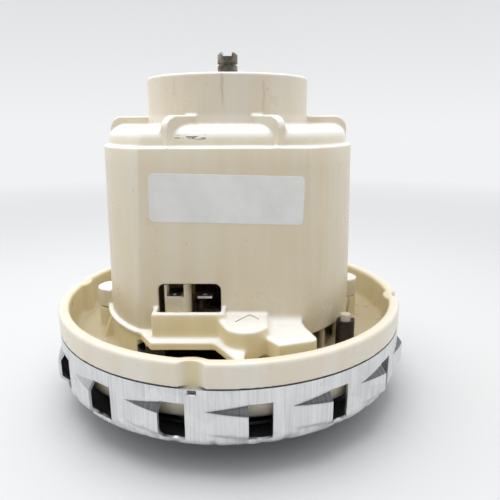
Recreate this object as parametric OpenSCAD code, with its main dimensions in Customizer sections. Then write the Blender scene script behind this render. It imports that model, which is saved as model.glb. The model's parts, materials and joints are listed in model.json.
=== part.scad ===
// Vacuum motor unit: a suction motor in a moulded housing, standing on its fan stage.
// Millimetres, +Z up. The origin is on the motor axis, at the underside of the fan cover.
// Turns round the axis are counted from the front (-Y) towards +X.

/* [Fan cover] */
// Outer diameter of the fan cover and of the ring above it
ring_d = 130; // [126:1:140]
// Thickness of the pressed sheet
sheet_t = 0.8; // [0.6:0.1:1.2]
// Height of the cover's side wall
cover_wall_h = 19.4; // [19:0.2:24]
// Radius of the cover's lower corner
cover_corner_r = 4; // [3:0.5:6]
// Depth of the dish below the side wall
dish_h = 10; // [8:0.5:13]
// Diameter of the dish at the foot of the side wall
dish_rim_d = 104; // [100:1:108]
// Diameter of the dish's flat underside
dish_d = 88; // [80:1:94]
// Diameter of the air inlet
inlet_d = 38; // [32:1:42]
// Height of the rolled lip round the air inlet
inlet_lip_h = 6.5; // [5:0.5:8]
// Number of louvres
louvre_n = 16; // [10:1:16]
// Turn of the first louvre's open end from the front
louvre_turn = -15.9; // [-20:0.1:0]
// Width of a louvre's hole along the wall
louvre_w = 7.4; // [5:0.1:8.5]
// Height of a louvre's hole
louvre_h = 11.7; // [9:0.1:13]
// Length of a louvre's scoop along the wall
scoop_l = 11.9; // [9:0.1:13]
// Distance that a scoop stands out of the wall
scoop_out = 2; // [1.2:0.1:2.5]

/* [Base bracket] */
// Thickness of the ring's wall
ring_wall = 3.9; // [3:0.1:5]
// Height of the ring's band above the cover
band_h = 7.8; // [6:0.1:10]
// Open seam between the cover and the ring's band
seam_gap = 0.3; // [0.2:0.1:0.6]
// Depth of the air channel below the rim
channel_depth = 13; // [12:0.5:14]
// Thickness of the channel's floor
floor_t = 2.5; // [2:0.1:3]
// Height of the inner wall that carries the housing
inner_wall_h = 8.8; // [8:0.1:11]
// Number of notches in the ring
notch_n = 4; // [2:1:6]
// Turn of the first notch from the front
notch_turn = -7.4; // [-15:0.1:10]
// Width of a notch
notch_w = 8.4; // [6:0.1:10]
// Depth of a notch
notch_depth = 2; // [1.5:0.1:3]
// Turn of a gusset beside the inner wall, from the front or the rear
gusset_turn = 67; // [66:0.5:72]

/* [Motor housing] */
// Diameter of the round body at its foot
body_d = 92; // [90:1:96]
// Draft of the body's wall on each side, from foot to step line
body_draft = 1.4; // [0.8:0.1:2]
// Distance between the front and rear flats
flat_gap = 73; // [71:1:78]
// Radius where a flat runs into the round wall
corner_r = 8; // [5:0.5:12]
// Thickness of the housing's walls
wall_t = 2; // [1.5:0.1:2.4]
// Height of the shoulder above the step line
shoulder_h = 6.3; // [5.6:0.1:8]
// Width of the ledge at the step line
ledge_w = 1.8; // [1:0.1:2.4]
// Diameter of the collar
collar_d = 57.2; // [54:0.2:62]
// Height of the collar above the shoulder
collar_h = 16; // [13:0.5:20]
// Thickness of a shoulder rib
rib_t = 3.4; // [2.4:0.1:4]
// Height of a shoulder rib above the shoulder
rib_h = 3.2; // [2:0.1:5]
// Width of the terminal window
window_w = 20.4; // [18:0.2:22]
// Height of the terminal window
window_h = 9.3; // [8:0.1:11]
// Distance of the window's right edge to the left of the motor axis
window_x = 1.5; // [1:0.1:3]
// Depth of the terminal box in front of the flat
box_depth = 6; // [4:0.5:8]
// Radius of the round boss beside the terminal box
boss_r = 7.1; // [6:0.1:7.5]
// Width of the hood beside the boss
hood_w = 13.2; // [11:0.1:14]
// Turn of the hood from the front
hood_turn = 18.6; // [14:0.1:21]
// Radius of a fixing lug
lug_r = 6; // [5:0.5:7]
// Turn of the fixing lugs from the sides
lug_turn = 7; // [0:1:12]

/* [Motor] */
// Diameter of the armature
armature_d = 38.6; // [36:0.2:40]
// Length of the laminated cores
core_l = 30; // [24:1:36]
// Air gap between the armature and the poles
air_gap = 0.5; // [0.4:0.1:0.8]
// Thickness of a field coil
coil_t = 7; // [5:0.5:7.5]
// Number of armature slots
slot_n = 12; // [10:1:14]
// Diameter of the commutator
commutator_d = 23; // [21:0.5:25]
// Length of the commutator
commutator_l = 14; // [13:0.5:18]
// Number of commutator bars
bar_n = 24; // [20:2:28]
// Width of a carbon brush
brush_w = 6; // [5:0.5:7]
// Height of a carbon brush along the axis
brush_h = 11; // [8:0.5:11.5]
// Length of a carbon brush
brush_l = 20; // [16:0.5:21]
// Diameter of the shaft in its bearings
shaft_d = 8; // [7:0.1:8]
// Length of the shaft's tip above the fan's nut
tip_l = 7.5; // [6:0.1:10]

/* [Bearings and fans] */
// Outer diameter of a ball bearing
bearing_d = 22; // [21:0.5:24]
// Width of a ball bearing
bearing_w = 7; // [6:0.5:8]
// Diameter of a bearing ball
ball_d = 3.8; // [3.4:0.1:3.9]
// Number of balls in a bearing
ball_n = 7; // [6:1:8]
// Diameter of the suction impeller
impeller_d = 114; // [104:1:114]
// Number of impeller blades
impeller_blade_n = 9; // [6:1:11]
// Gap between the cooling fan and the collar
fan_clear = 1.6; // [1:0.1:3]
// Height of the cooling fan
fan_h = 8; // [6:0.5:9]
// Number of cooling fan blades
fan_blade_n = 11; // [7:1:13]

/* [Choke] */
// Turn of the choke from the front
choke_turn = 54; // [50:0.5:58]
// Gap between the choke and the foot of the housing
choke_gap = 1.1; // [0.8:0.1:3]
// Radius of the choke's core
choke_core_r = 1.7; // [1.2:0.1:2]
// Outer radius of the choke's winding
choke_r = 3.2; // [2.9:0.1:3.4]
// Diameter of the choke's wire
choke_wire_d = 0.65; // [0.5:0.05:0.65]
// Number of turns on the choke
choke_turns = 8; // [5:1:8]

/* [Hidden] */

$fn = 96;
// Overlap that makes neighbouring shapes of one piece join
join = 0.5;
// Distance that a cut runs past the piece it cuts
past = 1;
// Radial gap where one fixed piece sits on another
seat_gap = 0.03;
// Gap between a fixed piece and a piece that moves
run_gap = 0.3;
// Number of straight steps in a quarter round
round_steps = 6;

cream = [0.83, 0.77, 0.64];
steel = [0.70, 0.71, 0.72];
zinc = [0.66, 0.69, 0.70];
copper = [0.62, 0.33, 0.16];
brass = [0.72, 0.58, 0.30];
black = [0.10, 0.10, 0.11];
aluminium = [0.75, 0.76, 0.78];

// Radii of the round forms
ring_r = ring_d / 2;
ring_in_r = ring_r - ring_wall;
cover_in_r = ring_r - sheet_t;
body_r = body_d / 2;
body_top_r = body_r - body_draft;
flat_y = flat_gap / 2;
collar_r = collar_d / 2;
bore_r = collar_r - wall_t;
inlet_r = inlet_d / 2;
shaft_r = shaft_d / 2;
bearing_r = bearing_d / 2;

// Heights from the underside up to the channel
cover_top_z = dish_h + cover_wall_h;
band_z = cover_top_z + seam_gap;
rim_z = band_z + band_h;
floor_z = rim_z - channel_depth;
under_z = floor_z - floor_t;
seat_z = floor_z + inner_wall_h;

// Heights of the motor
hub_lip_h = 1;
lower_bearing_z = floor_z + hub_lip_h;
commutator_gap = 3.5;
commutator_z = lower_bearing_z + bearing_w + commutator_gap;
riser_h = 1.4;
brush_z = commutator_z + (commutator_l - riser_h) / 2;
coil_end_h = 7.3;
coil_room = 6.7;
core_z = commutator_z + commutator_l + coil_room + run_gap;
core_top_z = core_z + core_l;
coil_top_z = core_top_z + coil_end_h;

// Heights of the housing, which closes over the motor
step_z = coil_top_z;
shoulder_z = step_z + shoulder_h;
collar_z = shoulder_z + collar_h;
bridge_gap = 0.7;
upper_bearing_z = coil_top_z + bridge_gap;
window_up = 8.4;
window_z = seat_z + window_up;

// Where the flats run into the round wall
corner_x = sqrt(pow(body_r - corner_r, 2) - pow(flat_y - corner_r, 2));

function polar(r, a) = [r * cos(a), r * sin(a)];
function arc(c, r, a0, a1, n) = [for (i = [0:n]) c + polar(r, a0 + (a1 - a0) * i / n)];
function back(points) = [for (i = [len(points) - 1:-1:0]) points[i]];
function mirrored(points) = [for (p = points) [-p.x, p.y]];
// Wall radius of the body at a height
function body_r_at(z) = body_r - body_draft * (z - seat_z) / (step_z - seat_z);

// An outline in plan, drawn up between two heights
module prism(z0, z1) {
    translate([0, 0, z0]) linear_extrude(z1 - z0) children();
}

// A solid of revolution round the motor axis
module turned(points) {
    rotate_extrude() polygon(points);
}

// An outline in Y and Z, drawn out along X between two places
module along_x(x0, x1) {
    translate([x0, 0, 0]) rotate([90, 0, 90]) linear_extrude(x1 - x0) children();
}

// A block between two corners
module block(low, high) {
    translate(low) cube(high - low);
}

module tube(z0, z1, r_out, r_in) {
    turned([[r_in, z0], [r_out, z0], [r_out, z1], [r_in, z1]]);
}

// Outline of a rectangle with rounded corners, between two corners
function rounded(low, high, r) = concat(
    arc([high.x - r, high.y - r], r, 0, 90, round_steps),
    arc([low.x + r, high.y - r], r, 90, 180, round_steps),
    arc([low.x + r, low.y + r], r, 180, 270, round_steps),
    arc([high.x - r, low.y + r], r, 270, 360, round_steps));

// Fan cover
dish_r = dish_d / 2;
dish_rim_r = dish_rim_d / 2;
dish_lean = atan2(dish_h, dish_rim_r - dish_r);
lip_roll_r = 2.5;
lip_steps = 5;

// One face of the cover's sheet, from the top edge to the inlet, set in by a distance
function cover_face(in) = let (shift = in * tan(dish_lean / 2)) concat(
    [[ring_r - in, cover_top_z]],
    arc([ring_r - cover_corner_r, dish_h + cover_corner_r], cover_corner_r - in, 0, -90, round_steps),
    [[dish_rim_r - shift, dish_h + in], [dish_r - shift, in]],
    arc([inlet_r + lip_roll_r, lip_roll_r], lip_roll_r - in, -90, -180, lip_steps),
    [[inlet_r + in, inlet_lip_h]]);

louvre_up = 8.95;
louvre_mid_z = dish_h + louvre_up;
louvre_turn_w = louvre_w / ring_r * 180 / PI;
scoop_turn = scoop_l / ring_r * 180 / PI;
scoop_mid_turn = scoop_turn / 2;
// Height that a scoop's ledge slants down, outwards and towards its thin end
scoop_ledge_drop = 2.1;
// Height from a louvre's middle to the end of its scoop's ledge
scoop_end_h = louvre_h / 2 - 0.15;
scoop_tip_h = scoop_end_h - scoop_ledge_drop;
// Depth of a scoop's thin end in the sheet
scoop_root = 0.25;
// Depth of the cuts behind the sheet's outer face
louvre_deep = 3;
// Turn that a scoop runs on into its hole, which trims it
scoop_past = 1;

function at_wall(r, a) = [r * sin(a), -r * cos(a)];

// Half space above a scoop's slanting upper ledge, lowered by a distance
module scoop_ledge(in) {
    along = (scoop_end_h - scoop_tip_h) / scoop_l;
    out = scoop_ledge_drop / scoop_out;
    lean = atan2(norm([along, out]), 1);
    facing = atan2(-out, -along);
    mid_h = (scoop_end_h + scoop_tip_h) / 2;
    size = 4 * louvre_h;
    translate([0, -ring_r * cos(scoop_mid_turn), mid_h])
        rotate([0, 0, facing]) rotate([0, lean, 0])
            translate([-size / 2, -size / 2, -in]) cube(size);
}

// A scoop's outer form, or the hollow behind it when set in by the sheet's thickness
module scoop(in, root) {
    outline = [
        at_wall(ring_r - root, -scoop_mid_turn),
        at_wall(ring_r - scoop_root - in, -scoop_mid_turn),
        at_wall(ring_r + scoop_out - in, scoop_mid_turn),
        at_wall(ring_r + scoop_out - in, scoop_mid_turn + scoop_past),
        at_wall(ring_r - root, scoop_mid_turn + scoop_past)
    ];
    translate([0, 0, louvre_mid_z]) difference() {
        prism(-louvre_h, louvre_h) polygon(outline);
        scoop_ledge(in);
        mirror([0, 0, 1]) scoop_ledge(in);
    }
}

module louvre_hole() {
    outline = [
        at_wall(ring_r - louvre_deep, 0),
        at_wall(ring_r + louvre_deep, 0),
        at_wall(ring_r + louvre_deep, louvre_turn_w),
        at_wall(ring_r - louvre_deep, louvre_turn_w)
    ];
    prism(louvre_mid_z - louvre_h / 2, louvre_mid_z + louvre_h / 2) polygon(outline);
}

module fan_cover() {
    color(zinc) difference() {
        union() {
            turned(concat(cover_face(0), back(cover_face(sheet_t))));
            for (i = [0:louvre_n - 1])
                rotate([0, 0, louvre_turn + 360 / louvre_n * i - scoop_mid_turn])
                    scoop(0, sheet_t * 0.7);
        }
        for (i = [0:louvre_n - 1])
            rotate([0, 0, louvre_turn + 360 / louvre_n * i]) {
                louvre_hole();
                rotate([0, 0, -scoop_mid_turn]) scoop(sheet_t, louvre_deep);
            }
    }
}

// Base bracket
skirt_step = 1.9;
skirt_r = cover_in_r - skirt_step;
skirt_t = 3;
skirt_in_r = skirt_r - skirt_t;
skirt_drop = 4;
skirt_z = under_z - skirt_drop;
skirt_round = 2;
seat_band_up = 0.6;
seat_band_z = floor_z + seat_band_up;
seat_band_r = cover_in_r - seat_gap;
rim_round = 1.2;
hub_wall = 3.5;
hub_r = bearing_r + hub_wall;
hub_top_z = lower_bearing_z + bearing_w + 0.5;
hub_hole_r = bearing_r - 2;
inner_wall_grow = 0.8;
register_h = 2.5;
register_t = 1.6;
notch_r = (pow(notch_w / 2, 2) + pow(notch_depth, 2)) / (2 * notch_depth);
notch_centre = ring_r + notch_r - notch_depth;
notch_wall = 3.4;
// Depth that a notch runs on below the band, for the crimped edge of the cover
crimp_room = 1.2;
gusset_t = 2;
gusset_reach = 3.6;
gusset_nose = 0.4;
gusset_down = 0.4;
// Openings in the inner wall
front_slot_left = 20.1;
front_slot_right = 4;
front_slot_up = 0.4;
front_slot_h = 4.6;
front_slot_out = 3;
front_slot_in = 6;
air_slot_from = 53;
air_slot_to = 25.5;
air_slot_up = 0.3;
air_slot_out = 0.2;
air_slot_deep = 4.2;
// Strip of the register that stays in the air slot
air_strip_turn = 50.5;
air_strip_w = 1.6;
air_strip_t = 2.1;
side_slot_turn = -38;
side_slot_w = 2.8;
side_slot_up = 3.1;
side_slot_h = 3.8;
side_slot_deep = 6;
floor_round = 2.5;
choke_boss_r = 4.4;
choke_boss_h = 1.6;

module at_choke(z) {
    rotate([0, 0, choke_turn]) translate([0, -(body_r + choke_gap + choke_r), z]) children();
}

// Outline that trims the round body to its flats, with rounded corners
module flat_trim(grow) {
    cy = flat_y - corner_r;
    r = corner_r + grow;
    lean = atan2(corner_x, cy);
    leave = [corner_x, cy] + polar(r, 90 - lean);
    far = [leave.x + leave.y / tan(lean), 0];
    quarter = concat(arc([corner_x, cy], r, 90, 90 - lean, round_steps), [far]);
    right = concat(quarter, back([for (i = [0:len(quarter) - 2]) [quarter[i].x, -quarter[i].y]]));
    polygon(concat(right, mirrored(back(right))));
}

// Outline of the body's foot, grown by a distance
module foot_outline(grow) {
    intersection() {
        circle(body_r + grow);
        flat_trim(grow);
    }
}

stator_screw_turn = 28.4;
core_gap = 0.5;
core_r = body_r_at(core_top_z) - wall_t - core_gap;
core_flat = flat_y - wall_t - core_gap;
stator_screw_in = 3.8;
stator_screw_pitch_r = core_r - stator_screw_in;
stator_screw_r = 1.5;
stator_head_r = 2.7;
stator_head_h = 2.6;
stator_foot_t = 2;
stator_hole_r = stator_screw_r + 0.2;
stator_post_r = 3;
stator_screw_deep = 12;

module at_stator_screws() {
    for (a = [0, 180])
        rotate([0, 0, stator_screw_turn + a]) translate([stator_screw_pitch_r, 0, 0]) children();
}

lug_pitch_r = body_r - 0.4;
lug_h = 6.9;
// The lugs stay this much apart, so that the walls meet first
lug_gap = 0.2;
housing_screw_r = 1.65;
housing_head_r = 3.2;
housing_head_h = 2.2;
housing_screw_deep = 5;

module at_lugs() {
    for (a = [0, 180]) rotate([0, 0, lug_turn + a]) translate([lug_pitch_r, 0, 0]) children();
}

holder_wall = 0.8;
holder_gap = 0.15;
brush_tip_x = commutator_d / 2 + run_gap;
brush_end_x = brush_tip_x + brush_l;
holder_x = brush_tip_x + 2;
holder_half_w = brush_w / 2 + holder_gap + holder_wall;
holder_half_h = brush_h / 2 + holder_gap + holder_wall;
holder_end_x = body_r_at(brush_z) - wall_t - 1.6;
cradle_x = hub_r + 3.5;
cradle_end_x = holder_end_x - 4;
cradle_wall = 2.4;

// A cradle that carries one brush holder
module brush_cradle() {
    low_z = brush_z - holder_half_h;
    side = holder_half_w + seat_gap;
    block([cradle_x, -side - cradle_wall, floor_z - join], [cradle_end_x, side + cradle_wall, low_z]);
    for (s = [-1, 1])
        translate([0, s * (side + cradle_wall / 2), 0])
            block([cradle_x, -cradle_wall / 2, low_z - join], [cradle_end_x, cradle_wall / 2, brush_z]);
}

module gusset() {
    top = seat_z - gusset_down;
    for (a = [gusset_turn, 180 - gusset_turn, 180 + gusset_turn, -gusset_turn]) {
        // Distance to the inner wall along this turn
        wall = min(body_r, flat_y / max(abs(cos(a)), 0.01)) + inner_wall_grow;
        rotate([0, 0, a]) rotate([0, 0, -90]) rotate([90, 0, 0])
            translate([0, 0, -gusset_t / 2]) linear_extrude(gusset_t)
                polygon([
                    [wall - inner_wall_grow - join, floor_z - join],
                    [wall + gusset_reach, floor_z - join],
                    [wall + gusset_reach, floor_z + gusset_nose],
                    [wall + gusset_nose, top],
                    [wall - inner_wall_grow - join, top]
                ]);
    }
}

// A gap in the inner wall and the register, where air leaves the motor
module air_slot() {
    prism(floor_z + air_slot_up, seat_z + register_h + past) intersection() {
        polygon([[0, 0], polar(body_d, -air_slot_from), polar(body_d, -air_slot_to)]);
        difference() {
            circle(body_r + inner_wall_grow + air_slot_out);
            circle(body_r - air_slot_deep);
            rotate([0, 0, air_strip_turn])
                translate([-air_strip_w / 2, -body_r + air_slot_deep - air_strip_t])
                    square([air_strip_w, air_strip_t + join]);
        }
    }
}

module notch_bulge() {
    intersection() {
        tube(floor_z - join, rim_z - rim_round / 3, ring_in_r + join, ring_in_r - notch_wall);
        for (i = [0:notch_n - 1])
            rotate([0, 0, notch_turn + 360 / notch_n * i]) translate([0, -notch_centre, floor_z - join])
                cylinder(h = rim_z, r = notch_r + notch_wall);
    }
}

module base_bracket() {
    color(cream) difference() {
        union() {
            turned(concat(
                [[hub_hole_r, under_z], [skirt_in_r, under_z], [skirt_in_r, skirt_z]],
                arc([skirt_r - skirt_round, skirt_z + skirt_round], skirt_round, -90, 0, round_steps),
                [[skirt_r, seat_band_z], [seat_band_r, seat_band_z + skirt_step]],
                [[seat_band_r, band_z], [ring_r, band_z]],
                arc([ring_r - rim_round, rim_z - rim_round], rim_round, 0, 90, round_steps),
                arc([ring_in_r + rim_round, rim_z - rim_round], rim_round, 90, 180, round_steps),
                arc([ring_in_r - floor_round, floor_z + floor_round], floor_round, 0, -90, round_steps),
                [[hub_hole_r, floor_z]]));
            tube(floor_z - join, hub_top_z, hub_r, hub_hole_r);
            prism(floor_z - join, seat_z) difference() {
                foot_outline(inner_wall_grow);
                foot_outline(-wall_t);
            }
            prism(floor_z - join, seat_z + register_h) difference() {
                foot_outline(-wall_t - run_gap);
                foot_outline(-wall_t - run_gap - register_t);
            }
            prism(floor_z - join, seat_z - register_h) difference() {
                foot_outline(-wall_t + join);
                foot_outline(-wall_t - run_gap - register_t);
            }
            gusset();
            notch_bulge();
            brush_cradle();
            mirror([1, 0, 0]) brush_cradle();
            at_stator_screws() translate([0, 0, floor_z - join])
                cylinder(h = core_z - floor_z + join, r = stator_post_r);
            at_lugs() translate([0, 0, floor_z - join])
                cylinder(h = seat_z - lug_gap - floor_z + join, r = lug_r);
            at_choke(floor_z - join)
                cylinder(h = choke_boss_h + join, r = choke_boss_r);
        }
        for (i = [0:notch_n - 1])
            rotate([0, 0, notch_turn + 360 / notch_n * i]) translate([0, -notch_centre, band_z - crimp_room])
                cylinder(h = crimp_room + band_h + past, r = notch_r);
        translate([0, 0, lower_bearing_z])
            cylinder(h = bearing_w + past, r = bearing_r + seat_gap);
        at_stator_screws() translate([0, 0, core_z - stator_screw_deep])
            cylinder(h = stator_screw_deep + past, r = stator_screw_r + seat_gap);
        at_lugs() {
            translate([0, 0, under_z - past])
                cylinder(h = seat_z - under_z + 2 * past, r = housing_screw_r + 0.4);
            translate([0, 0, under_z - past])
                cylinder(h = housing_head_h + 0.4 + past, r = housing_head_r + 0.4);
        }
        at_choke(floor_z)
            cylinder(h = choke_boss_h + past, r = choke_core_r + seat_gap);
        block([-front_slot_left, -flat_y - front_slot_out, floor_z + front_slot_up],
              [front_slot_right, -flat_y + front_slot_in, floor_z + front_slot_up + front_slot_h]);
        for (a = [0, 180]) rotate([0, 0, a]) air_slot();
        rotate([0, 0, side_slot_turn])
            block([-side_slot_w / 2, -body_r - 2 * inner_wall_grow, floor_z + side_slot_up],
                  [side_slot_w / 2, -body_r + side_slot_deep, floor_z + side_slot_up + side_slot_h]);
    }
}

// Motor housing
shoulder_rise = 1.7;
shoulder_r = shoulder_h - shoulder_rise;
rim_chamfer = 0.4;
collar_foot = 0.6;
collar_foot_up = 0.4;
rib_round = 4.2;
rib_end_in = 1.4;
rib_end_r = body_top_r - rib_end_in;
rib_corner_in = 7.1;
rib_flat_in = 1.6;
rib_lean = 20;
box_margin = 1.6;
box_lip = 2.1;
box_deep = 2.5;
box_lip_h = 1.5;
lip_out = 1.5;
lip_h = 1.5;
flange_h = 1.3;
flange_out = 2.3;
flange_run = 5;
flange_rise = 8;
flange_right = 3.3;
flange_nose = 5.8;
flange_nose_in = 1.9;
// Distance that the forms on the front flat hang below the seat, and their gap to the inner wall
apron_h = 1.6;
apron_gap = 0.2;
boss_x = 6.5;
boss_h = 7.7;
boss_reach = 7.9;
boss_corner = [1.9, 6.2];
boss_corner_in = [0.3, 2.1];
boss_turn = 198;
hood_in = 1.1;
hood_front = 55.8;
hood_h = 4.3;
hood_round = 2;
hood_fillet_r = 3.3;
hood_fillet_in = 0.2;
// Web that joins the boss to the hood, and the hollow curve on it
web_in = 1;
web_w = 3.7;
web_reach = 11.4;
web_lean = 4.7;
web_fillet_r = 3.2;
web_fillet_in = 0.5;
window_round = 2;

// Right half of the body's outline, from the foot to the shoulder, set in by a distance
function side_outline(foot, top, in, low) = concat(
    [[0, low], [foot - in, low], [top - in, step_z - in], [top - ledge_w - in, step_z - in]],
    arc([top - ledge_w - shoulder_r, step_z + shoulder_rise], shoulder_r - in, 0, 90, round_steps),
    [[0, shoulder_z - in]]);

module body_form(in, low) {
    intersection() {
        turned(side_outline(body_r, body_top_r, in, low));
        along_x(-body_d, body_d) {
            half = side_outline(flat_y, flat_y, in, low);
            polygon(concat(half, mirrored(back(half))));
        }
        if (in == 0) prism(low, shoulder_z + past) flat_trim(0);
    }
}

// An upright rib on the shoulder, from one place in plan to another
module shoulder_rib(from, to) {
    run = to - from;
    length = norm(run);
    top = shoulder_z + rib_h;
    translate([from.x, from.y, 0]) rotate([0, 0, atan2(run.y, run.x)]) rotate([90, 0, 0])
        translate([0, 0, -rib_t / 2]) linear_extrude(rib_t)
            polygon(concat(
                [[0, step_z - join], [length, step_z - join]],
                arc([length - rib_round, top - rib_round], rib_round, 0, 90, round_steps),
                [[0, top]]));
}

module shoulder_ribs() {
    start = collar_r - wall_t / 2;
    for (s = [-1, 1]) {
        shoulder_rib([s * start, 0], [s * rib_end_r, 0]);
        for (t = [-1, 1])
            shoulder_rib(
                [s * start * sin(rib_lean), t * start * cos(rib_lean)],
                [s * (corner_x - rib_corner_in), t * (flat_y - rib_flat_in)]);
    }
}

module terminal_box() {
    left = -window_x - window_w - box_margin;
    face = -flat_y - box_depth;
    block([left, face, seat_z + lip_h - join], [0, -flat_y + join, window_z + box_lip_h]);
    front_form(seat_z + flange_h) box_flange(left, -flat_y - box_depth - flange_out);
}

// Foot of the terminal box, which runs on to the round lip on its left and to the boss on its right
module box_flange(left, face) {
    nose_y = -flat_y - boss_reach - boss_r - flange_nose;
    polygon([
        [left - flange_run, -flat_y + join],
        [left - flange_run, face + flange_rise],
        [left, face],
        [-flange_right, face],
        [boss_x - flange_nose_in, nose_y],
        [boss_x, nose_y],
        [boss_x, -flat_y + join]
    ]);
}

// A form on the front flat, which hangs in front of the bracket's inner wall
module front_form(top) {
    difference() {
        prism(seat_z - apron_h, top) children();
        block([-body_d, -flat_y - inner_wall_grow - apron_gap, seat_z - apron_h - past],
              [body_d, 0, seat_z + apron_gap]);
    }
}

module boss_outline() {
    polygon(concat(
        [[-boss_corner_in[0], -flat_y + join]],
        [[-boss_corner_in[0], -flat_y - boss_corner_in[1]]],
        [[-boss_corner[0], -flat_y - boss_corner[1]]],
        arc([boss_x, -flat_y - boss_reach], boss_r, boss_turn, 360, 4 * round_steps),
        [[boss_x + boss_r, -flat_y + join]]));
}

module web_outline() {
    left = boss_x + boss_r - web_in;
    polygon([
        [left, -flat_y + join],
        [left, -flat_y - web_reach],
        [left + web_w, -flat_y - web_reach - web_lean],
        [left + web_w, -flat_y + join]
    ]);
}

// Hollow curve from the hood's top up to the boss
module web_fillet() {
    right = boss_x + boss_r;
    top = seat_z + hood_h;
    r = web_fillet_r;
    translate([0, -flat_y + join, 0]) rotate([90, 0, 0]) linear_extrude(web_reach - web_fillet_in + join)
        polygon(concat(
            [[right - join, top - join], [right + r, top - join]],
            arc([right + r, top + r], r, 270, 180, round_steps),
            [[right - join, top + r]]));
}

module hood_outline() {
    right = hood_w - hood_in;
    intersection() {
        rotate([0, 0, hood_turn]) polygon(concat(
            [[-hood_in, 0], [-hood_in, -hood_front]],
            arc([right - hood_round, -hood_front + hood_round], hood_round, -90, 0, round_steps),
            [[right, 0]]));
        translate([0, -body_d]) square([body_d, body_d - flat_y + join]);
    }
}

// Hollow curve from the hood's top up to the flat
module hood_fillet() {
    top = seat_z + hood_h;
    along_x(boss_x + boss_r - join, corner_x - hood_fillet_in)
        polygon(concat(
            [[-flat_y + join, top - join], [-flat_y + join, top + hood_fillet_r]],
            arc([-flat_y - hood_fillet_r, top + hood_fillet_r], hood_fillet_r, 0, -90, round_steps),
            [[-flat_y - hood_fillet_r, top - join]]));
}

module motor_housing() {
    color(cream) difference() {
        union() {
            body_form(0, seat_z);
            turned([
                [0, shoulder_z - join],
                [collar_r + collar_foot, shoulder_z - join],
                [collar_r, shoulder_z + rib_h + collar_foot_up],
                [collar_r, collar_z - rim_chamfer],
                [collar_r - rim_chamfer, collar_z],
                [0, collar_z]
            ]);
            shoulder_ribs();
            prism(seat_z, seat_z + lip_h) intersection() {
                foot_outline(lip_out);
                translate([-body_d, -body_d]) square([body_d, 2 * body_d]);
            }
            terminal_box();
            front_form(seat_z + boss_h) boss_outline();
            front_form(seat_z + hood_h) hood_outline();
            front_form(seat_z + hood_h) web_outline();
            hood_fillet();
            web_fillet();
            at_lugs() translate([0, 0, seat_z + lug_gap]) cylinder(h = lug_h, r = lug_r);
        }
        body_form(wall_t, seat_z - past);
        translate([0, 0, step_z]) cylinder(h = collar_z, r = bore_r);
        window_cut();
        block([-window_x - window_w, -flat_y - box_depth + box_lip, window_z - box_deep],
              [-window_x, -flat_y + wall_t + past, window_z + box_lip_h + past]);
        at_lugs() translate([0, 0, seat_z - past])
            cylinder(h = housing_screw_deep + past, r = housing_screw_r + seat_gap);
    }
}

// The window's opening, cut through the front flat
module window_cut() {
    low = [-window_x - window_w, window_z];
    high = [-window_x, window_z + window_h];
    translate([0, -flat_y + wall_t + past, 0]) rotate([90, 0, 0]) linear_extrude(wall_t + 2 * past)
        polygon(rounded(low, high, window_round));
}

// Screws
module screw_slot(w, deep) {
    for (a = [0, 90]) rotate([0, 0, a]) translate([-w / 2, -0.4, -deep]) cube([w, 0.8, deep + past]);
}

module housing_screws() {
    head_z = under_z + housing_head_h + 0.4;
    color(steel) at_lugs() translate([0, 0, head_z]) difference() {
        union() {
            cylinder(h = seat_z + housing_screw_deep - 0.5 - head_z, r = housing_screw_r);
            translate([0, 0, -housing_head_h]) cylinder(h = housing_head_h, r = housing_head_r);
        }
        translate([0, 0, -housing_head_h]) mirror([0, 0, 1]) screw_slot(housing_head_r * 1.2, 1.2);
    }
}

module stator_screws() {
    head_z = core_top_z + stator_foot_t;
    low_z = core_z - stator_screw_deep + 0.5;
    color(steel) at_stator_screws() difference() {
        union() {
            translate([0, 0, low_z]) cylinder(h = head_z - low_z, r = stator_screw_r);
            translate([0, 0, head_z]) cylinder(h = stator_head_h, r = stator_head_r);
        }
        translate([0, 0, head_z + stator_head_h]) screw_slot(stator_head_r * 1.2, 1.2);
    }
}

// Stator
pole_r = armature_d / 2 + air_gap;
pole_shoe_t = 3.2;
window_in_r = pole_r + pole_shoe_t;
coil_in_r = window_in_r + 0.5;
coil_out_r = coil_in_r + coil_t;
coil_from = 12;
coil_side = 20;
core_window_x = coil_out_r + 0.5;
core_window_y = coil_out_r * sin(coil_from + coil_side) + 0.8;
pole_gap_y = 8;

module stator_core() {
    color(steel) difference() {
        prism(core_z, core_top_z) difference() {
            intersection() {
                circle(core_r);
                square([4 * core_r, 2 * core_flat], center = true);
            }
            circle(pole_r);
            difference() {
                square([2 * core_window_x, 2 * core_window_y], center = true);
                circle(window_in_r);
            }
            square([2 * window_in_r + 0.4, 2 * pole_gap_y], center = true);
        }
        at_stator_screws() translate([0, 0, core_z - past])
            cylinder(h = core_l + 2 * past, r = stator_hole_r);
    }
}

// A saddle-shaped coil round one pole
module field_coil() {
    low_z = core_z - coil_end_h;
    sweep = 180 - 2 * coil_from;
    difference() {
        rotate([0, 0, coil_from]) rotate_extrude(angle = sweep)
            translate([coil_in_r, low_z]) square([coil_t, coil_top_z - low_z]);
        rotate([0, 0, coil_from + coil_side]) rotate_extrude(angle = sweep - 2 * coil_side)
            translate([coil_in_r - past, core_z - run_gap])
                square([coil_t + 2 * past, core_l + 2 * run_gap]);
    }
}

module field_coil_rear() {
    color(copper) field_coil();
}

module field_coil_front() {
    color(copper) rotate([0, 0, 180]) field_coil();
}

// Bridge over the stator that carries the upper bearing
bridge_w = 9;
bridge_z = coil_top_z + bridge_gap;
bridge_top_z = shoulder_z - wall_t - 0.6;
bridge_leg_t = 3;
bridge_leg_r = stator_screw_pitch_r - stator_head_r - 0.3;

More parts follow.
